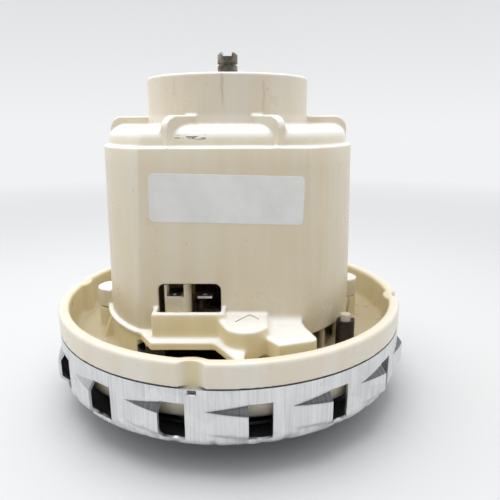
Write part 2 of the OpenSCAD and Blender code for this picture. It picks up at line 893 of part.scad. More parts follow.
module upper_bearing_bracket() {
    hub_z = upper_bearing_z - hub_lip_h;
    color(aluminium) difference() {
        union() {
            tube(hub_z, upper_bearing_z + bearing_w, hub_r, hub_hole_r);
            for (a = [0, 180]) rotate([0, 0, stator_screw_turn + a]) {
                block([hub_r - join, -bridge_w / 2, bridge_z], [bridge_leg_r, bridge_w / 2, bridge_top_z]);
                block([bridge_leg_r - bridge_leg_t, -bridge_w / 2, core_top_z],
                      [bridge_leg_r, bridge_w / 2, bridge_top_z]);
                block([bridge_leg_r - join, -bridge_w / 2, core_top_z],
                      [stator_screw_pitch_r, bridge_w / 2, core_top_z + stator_foot_t]);
            }
            at_stator_screws() translate([0, 0, core_top_z])
                cylinder(h = stator_foot_t, r = stator_head_r + 0.4);
        }
        translate([0, 0, upper_bearing_z]) cylinder(h = bearing_w + past, r = bearing_r + seat_gap);
        at_stator_screws() translate([0, 0, core_top_z - past])
            cylinder(h = stator_foot_t + 2 * past, r = stator_hole_r);
    }
}

// Ball bearings
ball_r = ball_d / 2;
ball_gap = 0.12;
pitch_r = (bearing_r + shaft_r) / 2;
ring_t = 2;
cage_t = 1.2;
cage_w = 5;
bearing_shaft_r = shaft_r + seat_gap;

// Outline of one bearing ring with its ball groove
module ring_section(r0, r1) {
    difference() {
        translate([r0, 0]) square([r1 - r0, bearing_w]);
        translate([pitch_r, bearing_w / 2]) circle(ball_r + ball_gap);
    }
}

module outer_ring(z) {
    color(steel) translate([0, 0, z]) rotate_extrude() ring_section(bearing_r - ring_t, bearing_r);
}

module inner_ring(z) {
    color(steel) translate([0, 0, z]) rotate_extrude()
        ring_section(bearing_shaft_r, bearing_shaft_r + ring_t);
}

module ball_row(z, grow) {
    for (i = [0:ball_n - 1])
        rotate([0, 0, 360 / ball_n * i]) translate([pitch_r, 0, z + bearing_w / 2])
            sphere(ball_r + grow);
}

module balls(z) {
    color(steel) ball_row(z, 0);
}

module cage(z) {
    color(brass) difference() {
        tube(z + (bearing_w - cage_w) / 2, z + (bearing_w + cage_w) / 2,
             pitch_r + cage_t / 2, pitch_r - cage_t / 2);
        ball_row(z, 0.05);
    }
}

module upper_outer_ring() { outer_ring(upper_bearing_z); }
module upper_inner_ring() { inner_ring(upper_bearing_z); }
module upper_balls() { balls(upper_bearing_z); }
module upper_cage() { cage(upper_bearing_z); }
module lower_outer_ring() { outer_ring(lower_bearing_z); }
module lower_inner_ring() { inner_ring(lower_bearing_z); }
module lower_balls() { balls(lower_bearing_z); }
module lower_cage() { cage(lower_bearing_z); }

// Rotor
impeller_z = under_z - 3.8;
impeller_plate_t = 1.2;
impeller_washer_t = 2;
nut_h = 6.5;
impeller_nut_z = impeller_z - impeller_plate_t - impeller_washer_t - nut_h;
shaft_past_nut = 1.5;
shaft_low_z = impeller_nut_z - shaft_past_nut;
fan_gap = 2;
fan_z = upper_bearing_z + bearing_w + fan_gap;
fan_washer_t = 1;
fan_nut_h = 5;
fan_nut_z = fan_z + fan_h + fan_washer_t;
fan_nut_top_z = fan_nut_z + fan_nut_h;
tip_z = fan_nut_top_z + tip_l;
tip_step = 0.4;
tip_r = shaft_r - tip_step;
tip_groove_down = 4.6;
tip_groove_z = tip_z - tip_groove_down;
tip_groove_h = 0.9;
tip_groove_deep = 0.4;
tip_slot_w = 3.2;
tip_slot_deep = 1.4;
tip_chamfer = 0.8;

module rotor_shaft() {
    color(steel) difference() {
        turned([
            [0, shaft_low_z],
            [shaft_r - tip_chamfer, shaft_low_z],
            [shaft_r, shaft_low_z + tip_chamfer],
            [shaft_r, fan_nut_top_z],
            [tip_r, fan_nut_top_z],
            [tip_r, tip_groove_z],
            [tip_r - tip_groove_deep, tip_groove_z],
            [tip_r - tip_groove_deep, tip_groove_z + tip_groove_h],
            [tip_r, tip_groove_z + tip_groove_h],
            [tip_r, tip_z - tip_chamfer],
            [tip_r - tip_chamfer, tip_z],
            [0, tip_z]
        ]);
        translate([-tip_slot_w / 2, -shaft_d, tip_z - tip_slot_deep])
            cube([tip_slot_w, 2 * shaft_d, tip_slot_deep + past]);
    }
}

armature_r = armature_d / 2;
slot_low_r = 10;
slot_top_r = armature_r - 1.8;
slot_low_w = 2.6;
tooth_w = 3.2;
slot_top_w = 2 * PI * slot_top_r / slot_n - tooth_w;
slot_mouth_w = 1.6;
winding_end_h = 6;
winding_gap = 0.12;

// Outline of one armature slot, set in by a distance
module slot_outline(in) {
    polygon([
        [slot_low_r + in, -slot_low_w / 2 + in],
        [slot_top_r - in, -slot_top_w / 2 + in],
        [slot_top_r - in, slot_top_w / 2 - in],
        [slot_low_r + in, slot_low_w / 2 - in]
    ]);
}

module armature_core() {
    color(steel) prism(core_z, core_top_z) difference() {
        circle(armature_r);
        circle(bearing_shaft_r);
        for (i = [0:slot_n - 1]) rotate(360 / slot_n * i) {
            slot_outline(0);
            translate([slot_top_r - join, -slot_mouth_w / 2]) square([armature_r, slot_mouth_w]);
        }
    }
}

// Half outline of the winding's end, above a core face
function winding_end(z, up) = [
    [slot_low_r, z],
    [slot_top_r, z],
    [slot_top_r, z + up * winding_end_h * 0.6],
    [slot_top_r - 2, z + up * winding_end_h],
    [slot_low_r + 1, z + up * winding_end_h],
    [slot_low_r, z + up * winding_end_h * 0.8]
];

module armature_winding() {
    color(copper) union() {
        turned(winding_end(core_top_z, 1));
        turned(winding_end(core_z, -1));
        for (i = [0:slot_n - 1]) rotate([0, 0, 360 / slot_n * i])
            prism(core_z - join, core_top_z + join) slot_outline(winding_gap);
    }
}

commutator_r = commutator_d / 2;
riser_out = 1.3;
bar_gap = 0.4;
bar_deep = 1.2;

module commutator() {
    top_z = commutator_z + commutator_l;
    color(copper) difference() {
        turned([
            [bearing_shaft_r, commutator_z],
            [commutator_r, commutator_z],
            [commutator_r, top_z - riser_h],
            [commutator_r + riser_out, top_z - riser_h],
            [commutator_r + riser_out, top_z],
            [bearing_shaft_r, top_z]
        ]);
        for (i = [0:bar_n - 1]) rotate([0, 0, 360 / bar_n * (i + 0.5)])
            block([commutator_r - bar_deep, -bar_gap / 2, commutator_z - past],
                  [commutator_r + riser_out + past, bar_gap / 2, top_z + past]);
    }
}

// Brush gear, on the right; the left is its mirror image
spring_wire_d = 0.5;
spring_r = 2;
spring_turns = 5;
spring_gap = 0.1;
holder_end_t = 0.8;

module brush_holder() {
    low = [-holder_half_w, brush_z - holder_half_h];
    high = [holder_half_w, brush_z + holder_half_h];
    in = [holder_wall, holder_wall];
    difference() {
        along_x(holder_x, holder_end_x) translate(low) square(high - low);
        along_x(holder_x - past, holder_end_x - holder_end_t) translate(low + in) square(high - low - 2 * in);
    }
}

module brush_holder_right() { color(brass) brush_holder(); }
module brush_holder_left() { color(brass) mirror([1, 0, 0]) brush_holder(); }

module carbon_brush() {
    difference() {
        block([commutator_r - 2, -brush_w / 2, brush_z - brush_h / 2],
              [brush_end_x, brush_w / 2, brush_z + brush_h / 2]);
        translate([0, 0, brush_z - brush_h]) cylinder(h = 2 * brush_h, r = brush_tip_x);
    }
}

module carbon_brush_right() { color(black) carbon_brush(); }
module carbon_brush_left() { color(black) mirror([1, 0, 0]) carbon_brush(); }

// A wound wire: turns that climb along Z, with a bend and a straight lead at each end
wire_sides = 6;
lead_steps = 4;

// Height from the foot of the lower lead to the first turn
function lead_h(d) = 2 * d;
function turn_point(r, a, z) = [r * cos(a), r * sin(a), z];
// Middle line of the wire, starting at height 0
function wire_line(r, d, pitch, turns, per_turn) =
    let (z0 = lead_h(d), z1 = z0 + pitch * turns, a1 = 360 * turns)
    let (low = [r, 0, z0], high = turn_point(r, a1, z1))
    let (low_way = [0, 1, 0], high_way = [-sin(a1), cos(a1), 0])
    concat(
        [low - low_way * d - [0, 0, 2 * d]],
        [for (i = [0:lead_steps - 1]) let (b = 90 - 90 * i / lead_steps)
            low - low_way * d * sin(b) - [0, 0, d * (1 - cos(b))]],
        [for (i = [0:turns * per_turn])
            turn_point(r, 360 * i / per_turn, z0 + pitch * i / per_turn)],
        [for (i = [1:lead_steps]) let (b = 90 * i / lead_steps)
            high + high_way * d * sin(b) + [0, 0, d * (1 - cos(b))]],
        [high + high_way * d + [0, 0, 2 * d]]);

function unit(v) = v / norm(v);
// Direction of the wire at one of its points
function wire_way(line, i) =
    unit(line[min(i + 1, len(line) - 1)] - line[max(i - 1, 0)]);
// Corners of the wire's section at one of its points
function wire_ring(line, i, d) =
    let (way = wire_way(line, i), out = unit([line[i].x, line[i].y, 0]))
    let (side = unit(out - way * (out * way)), up = cross(way, side))
    [for (k = [0:wire_sides - 1]) let (b = 360 * k / wire_sides)
        line[i] + (side * cos(b) + up * sin(b)) * d / 2];

module wound_wire(line, d) {
    n = len(line);
    points = [for (i = [0:n - 1]) each wire_ring(line, i, d)];
    last = (n - 1) * wire_sides;
    faces = concat(
        [for (k = [1:wire_sides - 2]) [0, k, k + 1]],
        [for (i = [0:n - 2], k = [0:wire_sides - 1])
            let (a = i * wire_sides + k, b = i * wire_sides + (k + 1) % wire_sides)
            each [[a, a + wire_sides, b], [b, a + wire_sides, b + wire_sides]]],
        [for (k = [1:wire_sides - 2]) [last, last + k + 1, last + k]]);
    polyhedron(points, faces);
}

// Least gap of a wire to itself, between points that lie over half a turn apart
function wire_gap(line, d, per_turn) = min([for (i = [0:len(line) - 1])
    for (j = [i + per_turn / 2:len(line) - 1]) norm(line[i] - line[j])]) - d;

spring_room = holder_end_x - holder_end_t - brush_end_x - 2 * spring_gap;
spring_pitch = (spring_room - 2 * lead_h(spring_wire_d)) / spring_turns;
spring_rings = 8;
spring_line = wire_line(spring_r, spring_wire_d, spring_pitch, spring_turns, spring_rings);

module brush_spring() {
    translate([brush_end_x + spring_gap, 0, brush_z]) rotate([0, 90, 0])
        wound_wire(spring_line, spring_wire_d);
}

module brush_spring_right() { color(steel) brush_spring(); }
module brush_spring_left() { color(steel) mirror([1, 0, 0]) brush_spring(); }

// Hexagon nut on the shaft
module nut(z, h, across) {
    color(steel) difference() {
        prism(z, z + h) circle(d = across / cos(30), $fn = 6);
        translate([0, 0, z - past]) cylinder(h = h + 2 * past, r = bearing_shaft_r);
    }
}

module washer(z, h, r) {
    color(steel) tube(z, z + h, r, bearing_shaft_r);
}

// A curved blade in plan, from the hub outwards, as part of a round wall
module curved_blade(centre, r, t, z0, z1) {
    intersection() {
        translate([centre, 0, 0]) tube(z0, z1, r + t / 2, r - t / 2);
        block([0, 0, z0 - past], [4 * r, 4 * r, z1 + past]);
    }
}

// Cooling fan in the collar
fan_r = bore_r - fan_clear;
fan_hub_r = 7.5;
fan_blade_t = 1.2;
fan_disc_t = 1.4;
fan_boss_r = bearing_shaft_r + 1.6;
fan_blade_r = fan_r * 0.46;
fan_blade_centre = fan_r * 0.7;

module cooling_fan() {
    top = fan_z + fan_h;
    color(black) difference() {
        union() {
            tube(fan_z - fan_gap, fan_z + join, fan_boss_r, bearing_shaft_r);
            tube(fan_z, top, fan_hub_r, bearing_shaft_r);
            tube(fan_z, fan_z + fan_disc_t, fan_r, bearing_shaft_r);
            intersection() {
                for (i = [0:fan_blade_n - 1]) rotate([0, 0, 360 / fan_blade_n * i])
                    curved_blade(fan_blade_centre, fan_blade_r, fan_blade_t, fan_z + join, top - 1);
                tube(fan_z, top, fan_r, fan_hub_r - join);
            }
        }
        translate([0, 0, fan_z - fan_gap - past])
            cylinder(h = fan_h + fan_gap + 2 * past, r = bearing_shaft_r);
    }
}

fan_nut_w = 11;
module fan_washer() { washer(fan_z + fan_h, fan_washer_t, fan_hub_r - 0.5); }
module fan_nut() { nut(fan_nut_z, fan_nut_h, fan_nut_w); }

// Suction impeller in the fan cover
impeller_r = impeller_d / 2;
eye_gap = 0.7;
eye_r = inlet_r + sheet_t + eye_gap;
front_plate_t = 1;
eye_lap = 1.5;
eye_flange_h = 2;
front_eye_z = inlet_lip_h - eye_lap;
front_rim_up = 2.9;
front_rim_z = dish_h + front_rim_up;
blade_start_in = 3.5;
blade_start_r = eye_r + blade_start_in;
blade_end_in = 0.5;
blade_end_r = impeller_r - blade_end_in;
blade_gap = 0.05;
impeller_blade_r = impeller_r * 0.456;
impeller_blade_centre = impeller_r * 0.596;
impeller_blade_t = 1;
impeller_nut_w = 13;

// Height of the front plate's underside at a radius
function front_z(r) = front_eye_z + (front_rim_z - front_eye_z) * (r - eye_r) / (impeller_r - eye_r);

module impeller_back_plate() {
    color(aluminium) tube(impeller_z - impeller_plate_t, impeller_z, impeller_r, bearing_shaft_r);
}

module impeller_front_plate() {
    color(aluminium) turned([
        [eye_r, front_eye_z - eye_flange_h],
        [eye_r + front_plate_t, front_eye_z - eye_flange_h],
        [eye_r + front_plate_t, front_z(eye_r + front_plate_t)],
        [impeller_r, front_rim_z],
        [impeller_r, front_rim_z + front_plate_t],
        [eye_r, front_eye_z + front_plate_t]
    ]);
}

module impeller_blades() {
    top = impeller_z - impeller_plate_t - blade_gap;
    rise = front_plate_t + blade_gap;
    color(aluminium) intersection() {
        for (i = [0:impeller_blade_n - 1]) rotate([0, 0, 360 / impeller_blade_n * i])
            curved_blade(impeller_blade_centre, impeller_blade_r, impeller_blade_t, 0, impeller_z);
        turned([
            [blade_start_r, front_z(blade_start_r) + rise],
            [blade_end_r, front_z(blade_end_r) + rise],
            [blade_end_r, top],
            [blade_start_r, top]
        ]);
    }
}

module impeller_spacer() {
    washer(impeller_z, lower_bearing_z - impeller_z, bearing_shaft_r + 1.5);
}

module impeller_washer() {
    washer(impeller_z - impeller_plate_t - impeller_washer_t, impeller_washer_t, 2.5 * shaft_r);
}

module impeller_nut() { nut(impeller_nut_z, nut_h, impeller_nut_w); }

// Terminals behind the window
tab_w = 4.8;
tab_t = 0.8;
tab_up = 4.6;
tab_z = window_z + tab_up;
tab_spacing = 10;
tab_left_x = -window_x - window_w / 2 - tab_spacing / 2;
block_depth = 3.9;
block_low = 5;
ledge_gap = 0.2;
ledge_z = window_z - box_deep - ledge_gap;
block_side = 0.6;
block_step = 0.6;
block_left_in = 1;
block_round = 3;
block_top_gap = 1;
block_face = -flat_y + wall_t;
tab_out = 0.4;
tab_front = -flat_y - tab_out;
tab_slot_gap = 0.1;
tab_tail = 2;
tab_hole_in = 1.8;
tab_hole_r = 0.7;
pocket_side = 0.4;
pocket_low = 0.5;
pocket_deep = 2.4;
// Leg that holds the right tab
leg_x = tab_left_x + tab_spacing - tab_w / 2;
leg_in = 2.8;
leg_y = block_face + leg_in;
leg_w = 1.2;
leg_sunk = 1.5;
leg_low_z = ledge_z - leg_sunk;

module terminal_block() {
    left = -window_x - window_w + block_side;
    middle = -window_x - window_w / 2;
    right = -window_x - block_side;
    back_y = block_face + block_depth;
    low = ledge_z - past;
    top = window_z + window_h - block_top_gap;
    front = block_face + block_step;
    color(cream) difference() {
        union() {
            block([left, block_face, window_z - block_low], [right, back_y, ledge_z]);
            prism(low, top) polygon(concat(
                [[left + block_left_in, back_y], [left + block_left_in, front]],
                arc([middle - block_round, front + block_round], block_round, -90, 0, round_steps),
                [[middle, back_y]]));
        }
        block([tab_left_x - tab_w / 2 - tab_slot_gap, tab_front, tab_z - tab_slot_gap],
              [tab_left_x + tab_w / 2 + tab_slot_gap, back_y + past, tab_z + tab_t + tab_slot_gap]);
        block([tab_left_x - tab_w / 2 - pocket_side, tab_front, tab_z - pocket_low],
              [tab_left_x + tab_w / 2 + pocket_side, block_face + pocket_deep, top + past]);
        block([tab_left_x - tab_w / 2 - tab_slot_gap, tab_front, tab_z + tab_t / 2],
              [tab_left_x + tab_w / 2 + tab_slot_gap, back_y + past, top + past]);
        block([leg_x - tab_slot_gap, leg_y - tab_slot_gap, leg_low_z - tab_slot_gap],
              [leg_x + leg_w + tab_slot_gap, leg_y + tab_t + tab_slot_gap, window_z]);
    }
}

// The flat blade of a tab, back to a depth
module tab_blade(x, end_y) {
    difference() {
        block([x - tab_w / 2, tab_front, tab_z], [x + tab_w / 2, end_y, tab_z + tab_t]);
        translate([x, tab_front + tab_hole_in, tab_z - past])
            cylinder(h = tab_t + 2 * past, r = tab_hole_r);
    }
}

module terminal_tab_left() {
    color(steel) tab_blade(tab_left_x, block_face + block_depth + tab_tail);
}

module terminal_tab_right() {
    color(steel) {
        tab_blade(tab_left_x + tab_spacing, leg_y + tab_t);
        block([leg_x, leg_y, leg_low_z], [leg_x + leg_w, leg_y + tab_t, tab_z + tab_t / 2]);
    }
}

// Suppression choke in the channel
choke_h = 13.5;
choke_wound_h = 11.7;
choke_mid_r = choke_r - choke_wire_d / 2;
choke_foot_z = floor_z + choke_boss_h + 0.05;
choke_rings = 24;
choke_run = choke_wound_h - choke_boss_h - lead_h(choke_wire_d);
choke_pitch = choke_run / choke_turns;
choke_line = wire_line(choke_mid_r, choke_wire_d, choke_pitch, choke_turns, choke_rings);

module choke_core() {
    color(cream) at_choke(floor_z) cylinder(h = choke_h, r = choke_core_r);
}

module choke_winding() {
    echo(least_gap_of_choke_wire = wire_gap(choke_line, choke_wire_d, choke_rings));
    color(copper) at_choke(choke_foot_z) wound_wire(choke_line, choke_wire_d);
}

fan_cover();
base_bracket();
motor_housing();
housing_screws();
stator_core();
field_coil_front();
field_coil_rear();
stator_screws();
upper_bearing_bracket();
upper_outer_ring();
upper_balls();
upper_cage();
upper_inner_ring();
lower_outer_ring();
lower_balls();
lower_cage();
lower_inner_ring();
rotor_shaft();
armature_core();
armature_winding();
commutator();
brush_holder_right();
brush_holder_left();
carbon_brush_right();
carbon_brush_left();
brush_spring_right();
brush_spring_left();
cooling_fan();
fan_washer();
fan_nut();
impeller_back_plate();
impeller_blades();
impeller_front_plate();
impeller_spacer();
impeller_washer();
impeller_nut();
terminal_block();
terminal_tab_left();
terminal_tab_right();
choke_core();
choke_winding();
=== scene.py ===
import json
import math
import bpy
import bmesh
import numpy as np
from mathutils import Matrix, Vector, noise


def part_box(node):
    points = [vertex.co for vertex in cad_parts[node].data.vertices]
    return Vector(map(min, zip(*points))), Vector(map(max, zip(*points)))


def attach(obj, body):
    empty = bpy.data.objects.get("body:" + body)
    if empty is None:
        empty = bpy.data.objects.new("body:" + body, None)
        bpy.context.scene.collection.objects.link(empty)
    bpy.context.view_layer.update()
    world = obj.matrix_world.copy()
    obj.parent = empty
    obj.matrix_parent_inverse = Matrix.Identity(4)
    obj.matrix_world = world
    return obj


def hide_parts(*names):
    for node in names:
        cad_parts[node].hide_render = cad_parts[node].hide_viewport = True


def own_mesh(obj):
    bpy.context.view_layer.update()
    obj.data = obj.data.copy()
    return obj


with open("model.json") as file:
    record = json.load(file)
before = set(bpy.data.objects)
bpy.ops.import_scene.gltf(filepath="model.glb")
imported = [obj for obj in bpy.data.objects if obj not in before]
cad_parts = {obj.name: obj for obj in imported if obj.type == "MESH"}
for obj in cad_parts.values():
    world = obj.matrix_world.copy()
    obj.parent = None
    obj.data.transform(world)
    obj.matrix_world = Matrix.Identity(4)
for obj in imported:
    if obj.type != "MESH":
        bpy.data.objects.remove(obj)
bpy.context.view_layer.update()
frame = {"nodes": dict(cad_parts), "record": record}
nodes = frame["nodes"]
scene = bpy.context.scene
scene.view_settings.view_transform = "Standard"
mm = 0.001
weldGap = 2e-6
tiny = 1e-6
print("frame loaded with", len(nodes), "CAD nodes")

# camera, found from the ring's ellipse in the picture
pictureCamera = {
    "place": (0.00912, -0.18647, 0.10169),
    "lens": 35.23,
    "sensor": 36.0,
    "clipStart": 0.005,
    "turn": 0.414,
    "down": 14.667,
    "roll": -0.226,
}


def setCamera(look):
    data = bpy.data.cameras.new("pictureCamera")
    data.lens = look["lens"]
    data.sensor_width = look["sensor"]
    data.clip_start = look["clipStart"]
    camera = bpy.data.objects.new("pictureCamera", data)
    scene.collection.objects.link(camera)
    turned = Matrix.Rotation(math.radians(look["turn"]), 4, "Z")
    tipped = Matrix.Rotation(math.radians(90 - look["down"]), 4, "X")
    rolled = Matrix.Rotation(math.radians(look["roll"]), 4, "Z")
    camera.matrix_world = Matrix.Translation(look["place"]) @ turned @ tipped @ rolled
    scene.camera = camera


setCamera(pictureCamera)
print("camera set")


# node helpers: a value that is a socket is linked, anything else is typed in
def put(tree, socket, value):
    if isinstance(value, bpy.types.NodeSocket):
        tree.links.new(value, socket)
    else:
        socket.default_value = value


def addNode(tree, kind, values=None, **settings):
    node = tree.nodes.new(kind)
    for key, value in settings.items():
        setattr(node, key, value)
    for key, value in (values or {}).items():
        put(tree, node.inputs[key], value)
    return node


def maths(tree, operation, a, b=0.0, c=0.0):
    return addNode(tree, "ShaderNodeMath", {0: a, 1: b, 2: c}, operation=operation).outputs[0]


def product(tree, share, *others):
    for other in others:
        share = maths(tree, "MULTIPLY", share, other)
    return share


def splitXyz(tree, vector):
    return addNode(tree, "ShaderNodeSeparateXYZ", {0: vector}).outputs


def mixColours(tree, share, a, b, way="MIX"):
    node = addNode(tree, "ShaderNodeMix", {0: share, 6: a, 7: b}, data_type="RGBA", blend_type=way)
    return node.outputs[2]


def tinted(tree, share, colour, tint):
    return mixColours(tree, share, colour, tint, "MULTIPLY")


# a look's four numbers for this are the range that a value comes from and the range that it goes to
def spread(tree, value, low, high, toLow=0.0, toHigh=1.0):
    values = {"Value": value, "From Min": low, "From Max": high, "To Min": toLow, "To Max": toHigh}
    return addNode(tree, "ShaderNodeMapRange", values, clamp=True).outputs[0]


def falling(tree, value, low, high):
    return spread(tree, value, low, high, 1.0, 0.0)


def partPlace(tree):
    return addNode(tree, "ShaderNodeTexCoord").outputs["Object"]


def stretched(tree, place, scale):
    return addNode(tree, "ShaderNodeMapping", {"Vector": place, "Scale": scale}).outputs[0]


def cloudy(tree, place, scale=1.0, detail=3.0, rough=0.55):
    values = {"Vector": place, "Scale": scale, "Detail": detail, "Roughness": rough}
    return addNode(tree, "ShaderNodeTexNoise", values).outputs["Fac"]


# arc length round the motor axis and height, both in metres
def roundPlace(tree, radius):
    x, y, z = splitXyz(tree, partPlace(tree))
    turn = maths(tree, "ARCTAN2", x, maths(tree, "MULTIPLY", y, -1.0))
    return maths(tree, "MULTIPLY", turn, radius), z


# how far a face looks up, from -1 to 1
def upTilt(tree):
    return splitXyz(tree, addNode(tree, "ShaderNodeNewGeometry").outputs["Normal"])[2]


def nearBox(tree, low, high, soft):
    shares = []
    for value, start, end in zip(splitXyz(tree, partPlace(tree)), low, high):
        shares.append(spread(tree, value, start - soft, start + soft))
        shares.append(falling(tree, value, end - soft, end + soft))
    return product(tree, *shares)


def startMaterial(name, metallic=0.0, specular=0.5):
    material = bpy.data.materials.new(name)
    material.use_nodes = True
    tree = material.node_tree
    shader = tree.nodes["Principled BSDF"]
    shader.inputs["Metallic"].default_value = metallic
    shader.inputs["Specular IOR Level"].default_value = specular
    return material, tree, shader


# bump is its strength and its distance in metres
def endMaterial(tree, shader, colour, rough, height, bump):
    put(tree, shader.inputs["Base Color"], colour)
    put(tree, shader.inputs["Roughness"], rough)
    values = {"Height": height, "Strength": bump[0], "Distance": bump[1]}
    put(tree, shader.inputs["Normal"], addNode(tree, "ShaderNodeBump", values).outputs[0])


creamLook = {
    "tone": (0.83, 0.74, 0.57, 1),
    "warm": (0.75, 0.64, 0.44, 1),
    "patchScale": 38.0,
    "patchFrom": (0.36, 0.66),
    "patchShare": 0.40,
    "pale": (0.86, 0.83, 0.725, 1),
    "streakScale": (120.0, 120.0, 11.0),
    "streakFrom": (0.40, 0.70),
    "streakShare": 0.60,
    "speck": (0.34, 0.25, 0.15, 1),
    "speckScale": 620.0,
    "speckFrom": (0.84, 0.90),
    "speckShare": 0.30,
    # painted light: the pale tone that upward faces are painted with
    "top": (0.98, 0.965, 0.925, 1),
    "litTopFrom": (0.06, 0.60),
    "roughScale": 90.0,
    "rough": (0.3, 0.7, 0.26, 0.38),
    "grainScale": 2600.0,
    "bump": (0.10, 0.0001),
}


# painted light: upward faces are painted paler than the walls, for the strong light from above
def paintedLitTops(tree, colour, look, share=1.0):
    share = product(tree, spread(tree, upTilt(tree), *look["litTopFrom"]), share)
    return mixColours(tree, share, colour, look["top"])


# moulded cream plastic: cloudy tone, faint upright flow streaks, specks, fine grain
def creamPlastic(name, look, marks=None):
    material, tree, shader = startMaterial(name)
    place = partPlace(tree)
    patch = spread(tree, cloudy(tree, place, look["patchScale"], detail=4.0), *look["patchFrom"])
    streak = spread(tree, cloudy(tree, stretched(tree, place, look["streakScale"])), *look["streakFrom"])
    speck = spread(tree, cloudy(tree, place, look["speckScale"], detail=0.0), *look["speckFrom"])
    colour = mixColours(tree, product(tree, patch, look["patchShare"]), look["tone"], look["warm"])
    colour = mixColours(tree, product(tree, streak, look["streakShare"]), colour, look["pale"])
    colour = mixColours(tree, product(tree, speck, look["speckShare"]), colour, look["speck"])
    if marks:
        colour = marks(tree, colour)
    rough = spread(tree, cloudy(tree, place, look["roughScale"], detail=4.0), *look["rough"])
    grain = cloudy(tree, place, look["grainScale"], detail=2.0)
    endMaterial(tree, shader, colour, rough, grain, look["bump"])
    return material


# sizes of the cover in millimetres and degrees
coverForm = {
    "wallR": 65.0,
    "sheet": 0.8,
    "topZ": 29.4,
    "corner": 4.0,
    "dishH": 10.0,
    "dishRimR": 52.0,
    "dishR": 44.0,
    "inletR": 19.0,
    "lipRoll": 2.5,
    "lipTop": 6.5,
    "louvres": 16,
    "firstTurn": -15.9,
    "holeW": 7.4,
    "holeH": 11.7,
    "midZ": 18.95,
    "scoopL": 12.9,
    "scoopBack": 1.05,
    "scoopOut": 2.0,
    "ledgeEnd": 5.7,
    "ledgeTip": 3.6,
    "ledgeSlope": 1.3,
    "root": 0.06,
    "bend": 0.35,
    "crimps": 4,
    "crimpTurn": -7.4,
    "crimpHalf": 1.45,
    "crimpZ": 28.38,
    "crimpUp": 0.75,
    "crimpIn": 0.7,
    "crimpSides": (0.5, 0.3),
    "crimpClear": 1.2,
    "formedFrom": 0.6,
    "flatOut": 1e-4,
    "wobble": 0.10,
    "wobbleTurn": 6.0,
    "wobbleUp": 0.15,
    "dent": 1.1,
    "dentSize": 3.0,
    "dentMore": 0.05,
    "dentTop": 16.5,
    "dentFade": 3.0,
    "grid": 0.5,
    "quickGrid": 1.6,
    "leastSteps": 4,
    "creaseAngle": 42.0,
}
# rows of the cover's path: each stretch has a number of points, each round edge its own offsets
coverRows = {
    "edge": 12,
    "band": 7,
    "louvre": 23,
    "knee": 8,
    "shelf": 6,
    "shelfEnd": 1.4,
    "rimRound": ((0.25, -0.12), (-0.75, -0.9)),
    "lean": (0.14, 0.86, 8),
    "footRound": ((0.55, 0.5), (-0.3, 0.08), (-1.3, 0.0)),
    "foot": 14,
    "roll": 8,
    "lip": 5,
}

zincLook = {
    "bright": (0.80, 0.81, 0.81, 1),
    "dull": (0.60, 0.615, 0.625, 1),
    "toneFrom": (0.36, 0.70),
    "hairScale": (1500.0, 45.0),
    "hairRough": 0.60,
    "hairShare": 0.62,
    "bandScale": (190.0, 30.0),
    "bandRough": 0.55,
    "bandShare": 0.38,
    "spangleScale": 120.0,
    "spangleShare": 0.10,
    "stain": (0.26, 0.26, 0.25, 1),
    "stainScale": 75.0,
    "stainFrom": (0.66, 0.76, 0.0, 0.5),
    "under": (0.20, 0.22, 0.24, 1),
    "underZ": (0.0101, 0.0116),
    # painted reflection: the dark tone of the scoops' sloping sides
    "darkLedgeReflection": (0.062, 0.072, 0.079, 1),
    "slopeSoft": 0.12,
    "slopeEdge": 0.05,
    "slopeRoot": 0.12,
    "slopeHair": (0.3, 0.7, 0.92, 0.72),
    "slopeArc": (-0.052, -0.026, 0.35, 1.0),
    "punchShade": (0.07, 0.065, 0.07, 1),
    "punchEdge": (0.8, 0.7),
    "punchShare": 0.85,
    "metallic": 0.92,
    "rough": (0.35, 0.75, 0.50, 0.36),
    "bump": (0.12, 0.0001),
}


# share of the upper sloping side of a scoop, from the cover's own sizes
def ledgeShare(tree, arc, up, form, look):
    pitch = 2 * math.pi * form["wallR"] / form["louvres"]
    back = form["scoopL"] * form["scoopBack"]
    soft = look["slopeSoft"]
    s = maths(tree, "MULTIPLY_ADD", arc, 1 / mm, -math.radians(form["firstTurn"]) * form["wallR"])
    s = maths(tree, "WRAP", s, pitch - back, -back)
    along = maths(tree, "MULTIPLY_ADD", s, 1 / form["scoopL"], 1.0)
    face = maths(tree, "MULTIPLY_ADD", along, form["scoopOut"] + form["root"], -form["root"])
    foot = maths(tree, "MULTIPLY_ADD", along, form["ledgeEnd"] - form["ledgeTip"], form["ledgeTip"])
    h = maths(tree, "MULTIPLY_ADD", up, 1 / mm, -form["midZ"])
    crease = maths(tree, "SUBTRACT", foot, maths(tree, "MULTIPLY", face, form["ledgeSlope"]))
    over = spread(tree, maths(tree, "SUBTRACT", h, crease), -soft, soft)
    under = spread(tree, maths(tree, "SUBTRACT", foot, h), -soft, soft)
    openEnd = falling(tree, s, 0.0, look["slopeEdge"])
    return product(tree, over, under, openEnd, spread(tree, face, 0.0, look["slopeRoot"]))


# streaks on the cover's wall, from their scale along the arc and upwards
def wallStreaks(tree, arc, up, scale, rough):
    along, high = product(tree, arc, scale[0]), product(tree, up, scale[1])
    flat = addNode(tree, "ShaderNodeCombineXYZ", {0: along, 1: high}).outputs[0]
    return cloudy(tree, flat, rough=rough)
